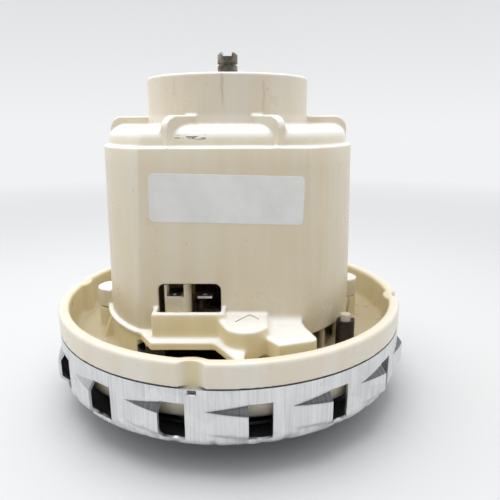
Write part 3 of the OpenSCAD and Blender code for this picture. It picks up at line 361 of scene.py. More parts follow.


# share of the punched dimple under each notch of the ring, where painted shade goes
def punchShare(tree, arc, up, form, look):
    wallR = form["wallR"] * mm
    pitch = 2 * math.pi * wallR / form["crimps"]
    off = maths(tree, "SUBTRACT", arc, math.radians(form["crimpTurn"]) * wallR)
    off = maths(tree, "ABSOLUTE", maths(tree, "WRAP", off, -pitch / 2, pitch / 2))
    rise = maths(tree, "ABSOLUTE", maths(tree, "SUBTRACT", up, form["crimpZ"] * mm))
    halfW, halfH = form["crimpHalf"] * mm, form["crimpUp"] * mm
    edgeW, edgeH = look["punchEdge"]
    wide = falling(tree, off, halfW * edgeW, halfW)
    return product(tree, wide, falling(tree, rise, halfH * edgeH, halfH), look["punchShare"])


# galvanised sheet: upright brushed hairs over a spangle, with a few stains
def galvanised(name, look, form):
    material, tree, shader = startMaterial(name, metallic=look["metallic"])
    place = partPlace(tree)
    arc, up = roundPlace(tree, form["wallR"] * mm)
    hair = wallStreaks(tree, arc, up, look["hairScale"], look["hairRough"])
    band = wallStreaks(tree, arc, up, look["bandScale"], look["bandRough"])
    cell = addNode(tree, "ShaderNodeTexVoronoi", {"Vector": place, "Scale": look["spangleScale"]})
    spangle = splitXyz(tree, cell.outputs["Color"])[0]
    tone = maths(tree, "MULTIPLY_ADD", band, look["bandShare"], product(tree, hair, look["hairShare"]))
    tone = maths(tree, "MULTIPLY_ADD", spangle, look["spangleShare"], tone)
    colour = mixColours(tree, spread(tree, tone, *look["toneFrom"]), look["dull"], look["bright"])
    stain = spread(tree, cloudy(tree, place, look["stainScale"], detail=4.0), *look["stainFrom"])
    colour = mixColours(tree, stain, colour, look["stain"])
    # the sheet is darker low down, from the foot of the knee to the inlet
    colour = mixColours(tree, falling(tree, up, *look["underZ"]), colour, look["under"])
    # painted reflection: the sloping sides of the scoops are painted dark, for the dark room that they
    # mirror, less so at the far left
    darkLedgeReflection = product(tree, ledgeShare(tree, arc, up, form, look),
                    spread(tree, hair, *look["slopeHair"]), spread(tree, arc, *look["slopeArc"]))
    colour = mixColours(tree, darkLedgeReflection, colour, look["darkLedgeReflection"])
    # painted shade: each punched dimple is painted dark, for the shade in its hollow
    colour = mixColours(tree, punchShare(tree, arc, up, form, look), colour, look["punchShade"])
    endMaterial(tree, shader, colour, spread(tree, tone, *look["rough"]), hair, look["bump"])
    return material


metalLook = {
    "wanderScale": 260.0,
    "wanderFrom": (0.35, 0.68),
    "roughLess": 0.85,
    "roughMore": 1.2,
    "lineScale": 120.0,
    "grainScale": 900.0,
    "bump": (0.15, 0.0001),
}
# the lower part of the tabs lies in shade
tabShade = {"upZ": (0.0458, 0.0462), "tone": (0.035, 0.030, 0.026, 1)}


# turned, drawn or pressed metal: one tone that wanders, with fine lines round the axis or none
def plainMetal(name, tone, dark, rough, lineUp=0.0, shade=None):
    look = metalLook
    material, tree, shader = startMaterial(name, metallic=1.0)
    place = partPlace(tree)
    wander = spread(tree, cloudy(tree, place, look["wanderScale"], detail=4.0), *look["wanderFrom"])
    colour = mixColours(tree, wander, tone, dark)
    if shade:
        up = splitXyz(tree, place)[2]
        colour = mixColours(tree, falling(tree, up, *shade["upZ"]), colour, shade["tone"])
    rough = spread(tree, wander, 0.0, 1.0, rough * look["roughLess"], rough * look["roughMore"])
    lines = (look["lineScale"], look["lineScale"], lineUp)
    grain = stretched(tree, place, lines if lineUp else (look["grainScale"],) * 3)
    endMaterial(tree, shader, colour, rough, cloudy(tree, grain), look["bump"])
    return material


wireLook = {
    "metallic": 0.55,
    "wavesPerScale": 20.0,
    "wave": {"Distortion": 1.5, "Detail": 2.0, "Detail Scale": 1.0},
    "ridgeFrom": (0.0, 0.8),
    "patchScale": 180.0,
    "patchFrom": (0.35, 0.7),
    "patchShare": 0.5,
    "rough": (0.32, 0.5),
    "bump": 0.6,
    "bumpPitch": 0.5,
}


# enamelled wire laid side by side: ridges across the way that the wires run
def wireBundle(name, tone, dark, across, pitch):
    look = wireLook
    material, tree, shader = startMaterial(name, metallic=look["metallic"])
    place = partPlace(tree)
    values = {"Vector": place, "Scale": 1.0 / pitch / look["wavesPerScale"], **look["wave"]}
    wave = addNode(tree, "ShaderNodeTexWave", values, bands_direction=across).outputs["Fac"]
    patch = spread(tree, cloudy(tree, place, look["patchScale"], detail=4.0), *look["patchFrom"])
    colour = mixColours(tree, spread(tree, wave, *look["ridgeFrom"]), dark, tone)
    colour = mixColours(tree, product(tree, patch, look["patchShare"]), colour, dark)
    rough = spread(tree, patch, 0.0, 1.0, *look["rough"])
    endMaterial(tree, shader, colour, rough, wave, (look["bump"], pitch * look["bumpPitch"]))
    return material


dullLook = {
    "wanderScale": 120.0,
    "wanderFrom": (0.35, 0.68),
    "roughLess": 0.9,
    "roughMore": 1.15,
    "grainScale": 900.0,
    "bump": (0.2, 0.0001),
}


# dull moulded or pressed stuff: carbon, black plastic, ferrite
def dullStuff(name, tone, dark, rough):
    look = dullLook
    material, tree, shader = startMaterial(name)
    place = partPlace(tree)
    wander = spread(tree, cloudy(tree, place, look["wanderScale"], detail=4.0), *look["wanderFrom"])
    colour = mixColours(tree, wander, tone, dark)
    rough = spread(tree, wander, 0.0, 1.0, rough * look["roughLess"], rough * look["roughMore"])
    endMaterial(tree, shader, colour, rough, cloudy(tree, place, look["grainScale"]), look["bump"])
    return material


# marks of the housing in metres; a flow line has its x, lower end, upper end and strength
housingMarks = {
    # painted shade for the walls below the shoulder and for the collar, painted light for the fronts of
    # box, boss and hood
    "lowerWallShade": (0.87, 0.86, 0.84, 1),
    "midZ": (0.088, 0.096),
    "foot": (1.24, 1.21, 1.02, 1),
    "litFrontZ": (0.0425, 0.0480),
    "litFrontY": (-0.0376, -0.0368),
    "collar": (0.86, 0.86, 0.885, 1),
    "collarShadeZ": (0.0960, 0.1000),
    "scuff": (0.05, 0.05, 0.06, 1),
    "scuffLow": (-0.0150, -0.0360, 0.0966),
    "scuffHigh": (-0.0052, -0.0280, 0.0979),
    "scuffSoft": 0.0004,
    "scuffScale": (300.0, 300.0, 2000.0),
    "scuffFrom": (0.56, 0.60),
    "scuffShare": 0.85,
    "flow": (0.50, 0.39, 0.26, 1),
    "flowLines": (
        (-0.0004, 0.1075, 0.1160, 0.70),
        (0.0126, 0.1040, 0.1140, 0.45),
        (-0.0156, 0.1090, 0.1150, 0.25),
    ),
    "flowHalf": 0.00060,
    "flowY": (-0.020, -0.019),
    "flowFoot": (-0.002, 0.003),
    "flowHead": (-0.001, 0.001),
    "swayScale": 110.0,
    "sway": 0.0022,
}


# painted shade and light on body, box, collar and tops, scuffs on the front shoulder and brown flow
# lines down the collar
def housingWear(tree, colour):
    look = housingMarks
    place = partPlace(tree)
    x, y, z = splitXyz(tree, place)
    # painted shade: the walls below the shoulder are painted darker
    colour = tinted(tree, falling(tree, z, *look["midZ"]), colour, look["lowerWallShade"])
    # painted light: the fronts of the box, boss and hood are painted brighter, for light from the front
    foot = product(tree, falling(tree, z, *look["litFrontZ"]), falling(tree, y, *look["litFrontY"]))
    colour = tinted(tree, foot, colour, look["foot"])
    # painted shade: the collar is painted darker
    colour = tinted(tree, spread(tree, z, *look["collarShadeZ"]), colour, look["collar"])
    # painted light: upward faces are painted paler
    colour = paintedLitTops(tree, colour, creamLook)
    scratch = spread(tree, cloudy(tree, stretched(tree, place, look["scuffScale"])), *look["scuffFrom"])
    zone = nearBox(tree, look["scuffLow"], look["scuffHigh"], look["scuffSoft"])
    colour = mixColours(tree, product(tree, scratch, zone, look["scuffShare"]), colour, look["scuff"])
    front = falling(tree, y, *look["flowY"])
    sway = maths(tree, "SUBTRACT", cloudy(tree, place, look["swayScale"], detail=2.0), 0.5)
    swayed = maths(tree, "MULTIPLY_ADD", sway, look["sway"], x)
    for middle, low, high, strength in look["flowLines"]:
        off = maths(tree, "ABSOLUTE", maths(tree, "SUBTRACT", swayed, middle))
        line = falling(tree, off, 0.0, look["flowHalf"])
        foot = spread(tree, z, *(low + d for d in look["flowFoot"]))
        head = falling(tree, z, *(high + d for d in look["flowHead"]))
        colour = mixColours(tree, product(tree, line, foot, head, front, strength), colour, look["flow"])
    return colour


bracketLook = {
    "ring": (1.0, 1.03, 1.12, 1),
    "ringR": (0.0632, 0.0642),
    # painted shade inside the ring wall, and more on its upward floor
    "channel": (0.90, 0.89, 0.77, 1),
    "channelZ": (0.0236, 0.0244),
    "rimR": (0.0600, 0.0606),
    "rimZ": (0.0370, 0.0376),
    "rimLitShare": 0.45,
    "bedShade": (0.78, 0.77, 0.78, 1),
    "bedTilt": (0.3, 0.9),
    "bedZ": (0.0300, 0.0350),
    "shade": (0.012, 0.011, 0.010, 1),
    "slotLow": (-0.0300, -0.0396, 0.0180),
    "slotHigh": (0.0120, -0.0100, 0.0296),
    "slotSoft": 0.0003,
    "skirtZ": (0.0182, 0.0242),
    "skirtR": (0.0643, 0.0645),
    "seam": (0.05, 0.045, 0.04, 1),
    "seamLow": (0.0291, 0.0292),
    "seamHigh": (0.0298, 0.0300),
}


# ring: paler outside, painted shade inside it and more on its floor, a dark joint above the sheet, slot
# and skirt lost in painted shade
def bracketWear(tree, colour):
    look = bracketLook
    x, y, z = splitXyz(tree, partPlace(tree))
    square = maths(tree, "ADD", maths(tree, "POWER", x, 2.0), maths(tree, "POWER", y, 2.0))
    r = maths(tree, "SQRT", square)
    outside = spread(tree, r, *look["ringR"])
    paler = tinted(tree, 1.0, colour, look["ring"])
    # painted shade inside the ring wall
    inside = tinted(tree, spread(tree, z, *look["channelZ"]), colour, look["channel"])
    colour = mixColours(tree, outside, inside, paler)
    # painted light: the rim's top is painted paler, for the light from above
    rim = product(tree, spread(tree, r, *look["rimR"]), spread(tree, z, *look["rimZ"]), look["rimLitShare"])
    colour = paintedLitTops(tree, colour, creamLook, rim)
    # painted shade, deepest on the upward floor between ring and housing
    bedShade = product(tree, spread(tree, upTilt(tree), *look["bedTilt"]), falling(tree, z, *look["bedZ"]))
    colour = tinted(tree, bedShade, colour, look["bedShade"])
    slot = nearBox(tree, look["slotLow"], look["slotHigh"], look["slotSoft"])
    colour = mixColours(tree, slot, colour, look["shade"])
    skirt = product(tree, falling(tree, z, *look["skirtZ"]), falling(tree, r, *look["skirtR"]))
    colour = mixColours(tree, skirt, colour, look["shade"])
    seam = product(tree, spread(tree, z, *look["seamLow"]), falling(tree, z, *look["seamHigh"]), outside)
    return mixColours(tree, seam, colour, look["seam"])


# painted light: a paler copy of the cream, for the light that reaches the terminal block in its window
litBlockLook = dict(creamLook, tone=(0.93, 0.84, 0.64, 1), warm=(0.90, 0.79, 0.55, 1),
                 pale=(0.94, 0.88, 0.72, 1))
# tone, dark tone, roughness, then the upright scale of the fine lines where there are any
finishes = {
    "cream_plastic": creamPlastic("creamPlastic", creamLook),
    "galvanised_sheet": galvanised("galvanisedSheet", zincLook, coverForm),
    "zinc_steel": plainMetal("zincSteel", (0.62, 0.62, 0.60, 1), (0.44, 0.44, 0.43, 1), 0.35),
    "core_steel": plainMetal("coreSteel", (0.30, 0.30, 0.31, 1), (0.20, 0.19, 0.18, 1), 0.5, 2400.0),
    "coil_copper": wireBundle("coilCopper", (0.50, 0.22, 0.09, 1), (0.20, 0.08, 0.035, 1),
                              across="Z", pitch=0.0005),
    "bar_copper": plainMetal("barCopper", (0.72, 0.40, 0.24, 1), (0.45, 0.25, 0.15, 1), 0.35, 1800.0),
    "cast_aluminium": plainMetal("castAluminium", (0.62, 0.63, 0.64, 1), (0.48, 0.49, 0.50, 1), 0.5),
    "bearing_steel": plainMetal("bearingSteel", (0.72, 0.73, 0.74, 1), (0.60, 0.61, 0.62, 1),
                                0.18, 1200.0),
    "cage_brass": plainMetal("cageBrass", (0.66, 0.52, 0.26, 1), (0.46, 0.35, 0.17, 1), 0.35),
    "shaft_steel": plainMetal("shaftSteel", (0.30, 0.27, 0.24, 1), (0.10, 0.08, 0.06, 1), 0.32, 1500.0),
    "holder_brass": plainMetal("holderBrass", (0.68, 0.54, 0.28, 1), (0.46, 0.35, 0.17, 1), 0.32),
    "carbon": dullStuff("carbonBrush", (0.045, 0.045, 0.05, 1), (0.025, 0.025, 0.027, 1), 0.55),
    "spring_steel": plainMetal("springSteel", (0.52, 0.52, 0.53, 1), (0.36, 0.35, 0.34, 1), 0.28),
    "black_plastic": dullStuff("blackPlastic", (0.030, 0.030, 0.031, 1), (0.018, 0.018, 0.018, 1), 0.5),
    # painted shade: the aluminium impeller is given a near-black tone, for the shade inside the cover
    "impeller_aluminium": plainMetal("impellerShadowed", (0.13, 0.13, 0.14, 1), (0.06, 0.06, 0.065, 1),
                                     0.45),
    "tab_tin": plainMetal("tabTin", (0.60, 0.60, 0.59, 1), (0.36, 0.35, 0.34, 1), 0.30, shade=tabShade),
    "choke_ferrite": dullStuff("chokeRod", (0.72, 0.66, 0.56, 1), (0.60, 0.53, 0.43, 1), 0.6),
    "choke_wire": dullStuff("chokeWire", (0.034, 0.022, 0.014, 1), (0.014, 0.010, 0.007, 1), 0.34),
}
housingCream = creamPlastic("housingCream", creamLook, housingWear)
bracketCream = creamPlastic("bracketCream", creamLook, bracketWear)
print("materials made:", len(bpy.data.materials))

# every CAD node takes the finish that its record slot names
for row in frame["record"]["subparts"]:
    piece = nodes[row["node"]]
    piece.data.materials.clear()
    piece.data.materials.append(finishes[row["material_slot"]])
# painted light: the terminal block takes the paler copy of the cream
nodes["terminal_block"].data.materials[0] = creamPlastic("litBlockCream", litBlockLook)


def placed(name, mesh, material):
    piece = bpy.data.objects.new(name, mesh)
    scene.collection.objects.link(piece)
    mesh.materials.clear()
    mesh.materials.append(material)
    return piece


def newPiece(name, mesh, body, material):
    piece = placed(name, mesh, material)
    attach(piece, body)
    return piece


def setSmooth(mesh, smooth=True):
    for polygon in mesh.polygons:
        polygon.use_smooth = smooth


def meshFrom(name, points, faces, smooth=True):
    mesh = bpy.data.meshes.new(name)
    mesh.from_pydata([tuple(p) for p in points], [], faces)
    mesh.update()
    setSmooth(mesh, smooth)
    return mesh


# modifiers run once on a scratch object, and only the finished mesh is kept
def workedMesh(name, mesh, modifiers):
    scratch = bpy.data.objects.new(name + "Scratch", mesh)
    scene.collection.objects.link(scratch)
    for kind, settings in modifiers:
        modifier = scratch.modifiers.new(kind.lower(), kind)
        for key, value in settings.items():
            setattr(modifier, key, value)
    done = scratch.evaluated_get(bpy.context.evaluated_depsgraph_get())
    made = bpy.data.meshes.new_from_object(done)
    bpy.data.objects.remove(scratch)
    made.name = name
    return made


def reworked(mesh, change):
    work = bmesh.new()
    work.from_mesh(mesh)
    change(work)
    work.to_mesh(mesh)
    work.free()
    return mesh


# the mouldings' voxels in metres; edges in the soft box are eased for more rounds
mouldedForms = {
    "motor_housing": {
        "name": "housingShell",
        "voxel": 0.00040,
        "softLow": (-0.024, -0.056, 0.0322),
        "softHigh": (0.036, -0.0386, 0.0475),
        "softRounds": 10,
    },
    "base_bracket": {"name": "ringBracket", "voxel": 0.00045, "softRounds": 0},
}
easing = {"factor": 0.5, "iterations": 4}


# the box, boss and hood have the roundest edges
def softerEdges(mesh, form):
    low, high = form["softLow"], form["softHigh"]

    def ease(work):
        near = [v for v in work.verts if all(low[i] < v.co[i] < high[i] for i in range(3))]
        for turn in range(form["softRounds"]):
            bmesh.ops.smooth_vert(work, verts=near, factor=easing["factor"],
                                  use_axis_x=True, use_axis_y=True, use_axis_z=True)

    reworked(mesh, ease)


# a moulding's edges are soft: the CAD solid is welded, remeshed finely and eased
def moulded(node, form, material):
    welded = reworked(nodes[node].data.copy(),
                      lambda work: bmesh.ops.remove_doubles(work, verts=work.verts, dist=weldGap))
    voxel = form["voxel"] * 1.0
    mesh = workedMesh(form["name"], welded, (
        ("REMESH", {"mode": "VOXEL", "voxel_size": voxel, "use_smooth_shade": True}),
        ("SMOOTH", easing),
    ))
    if form["softRounds"]:
        softerEdges(mesh, form)
    setSmooth(mesh)
    piece = newPiece(form["name"], mesh, "frame", material)
    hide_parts(node)
    print(form["name"], len(mesh.polygons), "faces")


moulded("motor_housing", mouldedForms["motor_housing"], housingCream)
moulded("base_bracket", mouldedForms["base_bracket"], bracketCream)


def shareOf(value):
    return max(0.0, min(1.0, value))


def softMin(a, b, soft):
    share = shareOf(0.5 + 0.5 * (b - a) / soft)
    return b + (a - b) * share - soft * share * (1 - share)


# outer face of the cover from its top edge down to the inlet, as radius and height
def coverPath(form, rows):
    wallR, rimR, dishR, inletR = form["wallR"], form["dishRimR"], form["dishR"], form["inletR"]
    corner, dish, roll = form["corner"], form["dishH"], form["lipRoll"]
    low = form["midZ"] - form["holeH"] / 2
    high = low + form["holeH"]
    underCrimp, overKnee = form["crimpZ"] - form["crimpClear"], dish + corner
    path = [(wallR, z) for z in np.linspace(form["topZ"], underCrimp, rows["edge"])]
    path += [(wallR, z) for z in np.linspace(underCrimp, high, rows["band"])[1:]]
    path += [(wallR, z) for z in np.linspace(high, overKnee, rows["louvre"])[1:]]
    kneeTurn = math.degrees(math.asin((overKnee - low) / corner))
    for turn in np.linspace(kneeTurn, 90, rows["knee"]):
        a = math.radians(turn)
        path.append((wallR - corner + corner * math.cos(a), overKnee - corner * math.sin(a)))
    path += [(r, dish) for r in np.linspace(wallR - corner, rimR + rows["shelfEnd"], rows["shelf"])[1:]]
    path += [(rimR + out, dish + up) for out, up in rows["rimRound"]]
    path += [(rimR - (rimR - dishR) * t, dish * (1 - t)) for t in np.linspace(*rows["lean"])]
    path += [(dishR + out, up) for out, up in rows["footRound"]]
    path += [(r, 0.0) for r in np.linspace(path[-1][0], inletR + roll, rows["foot"])[1:]]
    for turn in np.linspace(90, 0, rows["roll"])[1:]:
        a = math.radians(turn)
        path.append((inletR + roll - roll * math.cos(a), roll - roll * math.sin(a)))
    path += [(inletR, z) for z in np.linspace(roll, form["lipTop"], rows["lip"])[1:]]
    return path, low, high


# each louvre's columns, as its number and the arc from its open end: scoop, hole, then plain wall
def coverColumns(form):
    pitch = 2 * math.pi * form["wallR"] / form["louvres"]
    back = form["scoopL"] * form["scoopBack"]
    step = form["grid"] * 1.0
    stops = []
    for start, end in ((-back, 0.0), (0.0, form["holeW"]), (form["holeW"], pitch - back)):
        n = max(form["leastSteps"], round((end - start) / step))
        stops += [start + (end - start) * i / n for i in range(n)]
    return [(k, s) for k in range(form["louvres"]) for s in stops]


# how far a scoop stands out: s is the arc from its open end, h the height off the louvre's middle
def scoopOut(form, s, h):
    if s > tiny:
        return 0.0
    along = 1 + s / form["scoopL"]
    face = -form["root"] + (form["scoopOut"] + form["root"]) * along
    foot = form["ledgeTip"] + (form["ledgeEnd"] - form["ledgeTip"]) * along
    return max(0.0, softMin(face, (foot - abs(h)) / form["ledgeSlope"], form["bend"]))


# how deep the crimps under the ring's notches are pressed in
def crimpIn(form, turn, z):
    depth = 0.0
    sideW, sideH = form["crimpSides"]
    for c in range(form["crimps"]):
        away = turn - math.radians(form["crimpTurn"] + 360 / form["crimps"] * c)
        away = (away + math.pi) % (2 * math.pi) - math.pi
        wide = form["crimpHalf"] - abs(away) * form["wallR"]
        tall = form["crimpUp"] - abs(z - form["crimpZ"])
        depth += form["crimpIn"] * shareOf(wide / sideW) * shareOf(tall / sideH)
    return depth


# how far the wall stands off its radius: scoops, a slight wobble between them, dents low down, crimps
def wallOut(form, turn, s, r, z):
    out = scoopOut(form, s, z - form["midZ"])
    x, y = math.sin(turn), math.cos(turn)
    if out < form["flatOut"]:
        spot = Vector((x * form["wobbleTurn"], y * form["wobbleTurn"], z * form["wobbleUp"]))
        out -= form["wobble"] * (0.5 + 0.5 * noise.noise(spot))
    spot = Vector((x * r, y * r, z)) / form["dentSize"]
    lowShare = shareOf((form["dentTop"] - z) / form["dentFade"])
    out -= form["dent"] * max(0.0, noise.noise(spot) + form["dentMore"]) * lowShare
    return out - crimpIn(form, turn, z)


# loose points go, and the faces look outwards
def turnOutwards(work):
    bmesh.ops.delete(work, geom=[v for v in work.verts if not v.link_faces], context="VERTS")
    bmesh.ops.recalc_face_normals(work, faces=work.faces)
    probe = max(work.faces, key=lambda f: f.calc_center_median().x)
    if probe.normal.x < 0:
        bmesh.ops.reverse_faces(work, faces=work.faces)


def makeCover(form, rows):
    path, low, high = coverPath(form, rows)
    columns = coverColumns(form)
    kneeR, formedZ = form["wallR"] - form["corner"], form["dishH"] + form["formedFrom"]
    points, faces = [], []
    for k, s in columns:
        turn = math.radians(form["firstTurn"] + 360 / form["louvres"] * k) + s / form["wallR"]
        for r, z in path:
            far = r + (wallOut(form, turn, s, r, z) if z > formedZ and r > kneeR else 0.0)
            points.append((far * math.sin(turn) * mm, -far * math.cos(turn) * mm, z * mm))
    tall, count = len(path), len(columns)
    for c, (k, s) in enumerate(columns):
        inHole = -tiny <= s < form["holeW"] - tiny
        for row in range(tall - 1):
            z = (path[row][1] + path[row + 1][1]) / 2
            if inHole and low < z < high:
                continue
            a, b = c * tall + row, ((c + 1) % count) * tall + row
            faces.append((a, a + 1, b + 1, b))
    mesh = reworked(meshFrom("coverSheet", points, faces), turnOutwards)
    mesh = workedMesh("coverSheet", mesh, (
        ("SOLIDIFY", {"thickness": form["sheet"] * mm, "offset": -1.0, "use_even_offset": True}),
        ("EDGE_SPLIT", {"split_angle": math.radians(form["creaseAngle"]), "use_edge_sharp": False}),
    ))
    piece = newPiece("coverSheet", mesh, "frame", finishes["galvanised_sheet"])
    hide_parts("fan_cover")
    print("coverSheet", len(mesh.polygons), "faces")


makeCover(coverForm, coverRows)


# a round wire swept along points, closed at both ends
def sweptTube(points, radius, sides):
    path = [Vector(p) for p in points]
    rings, faces = [], []
    side = None
    for i, p in enumerate(path):
        way = (path[min(i + 1, len(path) - 1)] - path[max(i - 1, 0)]).normalized()
        if side is None:
            side = way.orthogonal().normalized()
        side = (side - way * side.dot(way)).normalized()
        other = way.cross(side)
        for k in range(sides):
            a = 2 * math.pi * k / sides
            rings.append(p + (side * math.cos(a) + other * math.sin(a)) * radius)
    for i in range(len(path) - 1):
        for k in range(sides):
            a, b = i * sides + k, i * sides + (k + 1) % sides
            faces.append((a, b, b + sides, a + sides))
    faces.append(tuple(range(sides - 1, -1, -1)))
    faces.append(tuple(range((len(path) - 1) * sides, len(path) * sides)))
    return rings, faces


def joinedTubes(name, tubes):
    points, faces = [], []
    for ring, face in tubes:
        base = len(points)
        points += ring
        faces += [tuple(i + base for i in f) for f in face]
    return meshFrom(name, points, faces)


chokeForm = {
    "axis": (40.694, -29.566),
    "lowZ": 26.45,
    "highZ": 36.1,
    "pitch": 0.64,
    "wire": 0.30,
    "layers": (2.88, 2.27),
    "layerShort": 0.35,
    "perTurn": 24,
    "sides": 8,
    "lead": (
        (41.3, -26.9, 36.0),
        (41.6, -26.5, 37.0),
        (41.9, -26.0, 38.6),
        (42.3, -25.2, 40.6),
        (42.9, -24.2, 42.6),
    ),
    "leadWire": 0.42,
    "leadTone": (0.46, 0.34, 0.21, 1),
    "leadDark": (0.30, 0.21, 0.12, 1),
    "leadRough": 0.5,
}


# two layers of fine wire on the rod, and the lead that goes up to the housing
def makeChoke(form):
    cx, cy = form["axis"]
    tubes = []
    for layer, radius in enumerate(form["layers"]):
        turns = (form["highZ"] - layer * form["layerShort"] - form["lowZ"]) / form["pitch"]
        line = []
        for i in range(int(turns * form["perTurn"]) + 1):
            a = 2 * math.pi * i / form["perTurn"]
            z = form["lowZ"] + form["pitch"] * i / form["perTurn"]
            line.append(((cx + radius * math.cos(a)) * mm, (cy + radius * math.sin(a)) * mm, z * mm))
        tubes.append(sweptTube(line, form["wire"] * mm, form["sides"]))
    lead = [tuple(c * mm for c in p) for p in form["lead"]]
    sleeve = meshFrom("chokeLead", *sweptTube(lead, form["leadWire"] * mm, form["sides"]))
    tan = dullStuff("leadSleeve", form["leadTone"], form["leadDark"], form["leadRough"])
    newPiece("chokeLead", sleeve, "frame", tan)
    mesh = joinedTubes("chokeCoil", tubes)
    piece = newPiece("chokeCoil", mesh, "frame", finishes["choke_wire"])
    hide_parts("choke_winding")
    print("chokeCoil", len(mesh.polygons), "faces")


makeChoke(chokeForm)

springForm = {
    "radius": 2.0,
    "wire": 0.25,
    "turns": 5.0,
    "endTurns": 0.75,
    "endPitch": 2.1,
    "perTurn": 28,
    "sides": 10,
    "travel": 0.006,
}


# brush springs: ground ends lie flat, and the coil spans its part's box
def makeSpring(side, sign, form):
    low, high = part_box("brush_spring_" + side)
    middle = (low + high) / 2
    inner, outer = (low.x, high.x) if sign > 0 else (high.x, low.x)
    wire, radius, ends = form["wire"] * mm, form["radius"] * mm, form["endTurns"]
    length = abs(outer - inner) - 2 * wire
    allTurns = form["turns"] + 2 * ends
    flat = ends * wire * form["endPitch"]
    steps = int(allTurns * form["perTurn"])
    line = []
    for i in range(steps + 1):
        t = allTurns * i / steps
        if t < ends:
            x = flat * t / ends
        elif t > allTurns - ends:
            x = length - flat * (allTurns - t) / ends
        else:
            x = flat + (length - 2 * flat) * (t - ends) / form["turns"]
        a = 2 * math.pi * t
        line.append((inner + sign * (wire + x),
                     middle.y + radius * math.cos(a), middle.z + radius * math.sin(a)))
    name = "spring" + side.capitalize()
    mesh = meshFrom(name, *sweptTube(line, wire, form["sides"]))
    piece = newPiece(name, mesh, "frame", finishes["spring_steel"])
    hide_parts("brush_spring_" + side)
    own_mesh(piece)


makeSpring("right", 1, springForm)
makeSpring("left", -1, springForm)
print("springs made")

# each ring of the label has its inset and its height off the wall: foot, edge and face;
# the face is a little smaller, so that the film's edge catches light
labelForm = {
    "size": (48.0, 15.1),
    "corner": 1.5,
    "cornerSteps": 6,
    "centre": (0.8, -36.5, 78.6),
    "tilt": -1.4,
    "rings": ((0.0, -0.06), (0.0, 0.06), (0.10, 0.12)),
    "paper": (0.80, 0.80, 0.79, 1),
    "grey": (0.72, 0.72, 0.71, 1),
    "patchScale": 120.0,
    "patchFrom": (0.35, 0.7),
    "specular": 0.4,
    "rough": (0.34, 0.48),
    "rippleScale": 240.0,
    "bump": (0.05, 0.0002),
}


def labelFilm(look):
    material, tree, shader = startMaterial("labelFilm", specular=look["specular"])
    place = partPlace(tree)
    share = spread(tree, cloudy(tree, place, look["patchScale"], detail=4.0), *look["patchFrom"])
    colour = mixColours(tree, share, look["paper"], look["grey"])
    rough = spread(tree, share, 0.0, 1.0, *look["rough"])
    ripple = cloudy(tree, place, look["rippleScale"], detail=2.0)
    endMaterial(tree, shader, colour, rough, ripple, look["bump"])
    return material


def roundedOutline(width, height, corner, steps):
    outline = []
    for cx, cy, start in ((1, 1, 0), (-1, 1, 90), (-1, -1, 180), (1, -1, 270)):
        for i in range(steps + 1):
            a = math.radians(start + 90 * i / steps)
            outline.append((cx * (width / 2 - corner) + corner * math.cos(a),
                            cy * (height / 2 - corner) + corner * math.sin(a)))
    return outline


def makeLabel(form):
    width, height = form["size"]
    outline = roundedOutline(width, height, form["corner"], form["cornerSteps"])
    lean = math.radians(form["tilt"])
    cx, cy, cz = form["centre"]
    points = []
    for inset, out in form["rings"]:
        for x, z in outline:
            x, z = x * (1 - 2 * inset / width), z * (1 - 2 * inset / height)
            points.append(((cx + x * math.cos(lean) - z * math.sin(lean)) * mm, (cy - out) * mm,
                           (cz + x * math.sin(lean) + z * math.cos(lean)) * mm))
    n = len(outline)
    faces = [tuple(range(n)), tuple(range(3 * n - 1, 2 * n - 1, -1))]
    for ring in (0, n):
        for i in range(n):
            j = (i + 1) % n
            faces.append((ring + i, ring + n + i, ring + n + j, ring + j))
    mesh = reworked(meshFrom("blankLabel", points, faces, smooth=False),
                    lambda work: bmesh.ops.recalc_face_normals(work, faces=work.faces))
    piece = placed("blankLabel", mesh, labelFilm(form))
    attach(piece, "frame")


makeLabel(labelForm)
print("label made")

# moulded ridge on the boss, bent like a hook
hookForm = {
    "line": ((3.4, -43.8), (5.4, -41.0), (7.9, -37.9), (9.4, -39.6), (10.8, -41.6)),
    "points": 8,
    "top": 41.0,
    "wire": 0.22,
    "sides": 8,
    "sunk": 0.06,
    "tone": (0.42, 0.34, 0.24, 1),
    "dark": (0.30, 0.24, 0.17, 1),
    "rough": 0.6,
}


def makeHook(form):
    corners = form["line"]
    points = []
    for (x0, y0), (x1, y1) in zip(corners, corners[1:]):
        shares = np.linspace(0, 1, form["points"])[:-1]
        points += [(x0 + (x1 - x0) * t, y0 + (y1 - y0) * t) for t in shares]
    points.append(corners[-1])
    line = [(x * mm, y * mm, (form["top"] - form["sunk"]) * mm) for x, y in points]
    mesh = meshFrom("bossMark", *sweptTube(line, form["wire"] * mm, form["sides"]))
    grimy = dullStuff("markGrime", form["tone"], form["dark"], form["rough"])
    newPiece("bossMark", mesh, "frame", grimy)


makeHook(hookForm)
print("boss mark made")

# crisp machined or pressed pieces keep their CAD mesh, with a fine bevel on the edges
bevelWidths = {
    "rotor_shaft": 0.15,
    "fan_nut": 0.20,
    "fan_washer": 0.12,
    "cooling_fan": 0.15,
    "impeller_nut": 0.20,
    "impeller_washer": 0.12,
    "terminal_tab_left": 0.12,
    "terminal_tab_right": 0.12,
    "terminal_block": 0.25,
    "choke_core": 0.25,
    "commutator": 0.08,
    "carbon_brush_right": 0.15,
    "carbon_brush_left": 0.15,
    "brush_holder_right": 0.12,
    "brush_holder_left": 0.12,
    "upper_bearing_bracket": 0.3,
}
bevelForm = {"segments": 2, "limit_method": "ANGLE", "angle_limit": math.radians(38)}
for node, width in bevelWidths.items():
    weld = nodes[node].modifiers.new("weld", "WELD")
    weld.merge_threshold = weldGap
    bevel = nodes[node].modifiers.new("bevel", "BEVEL")
    bevel.width = width * mm
    for key, value in bevelForm.items():
        setattr(bevel, key, value)
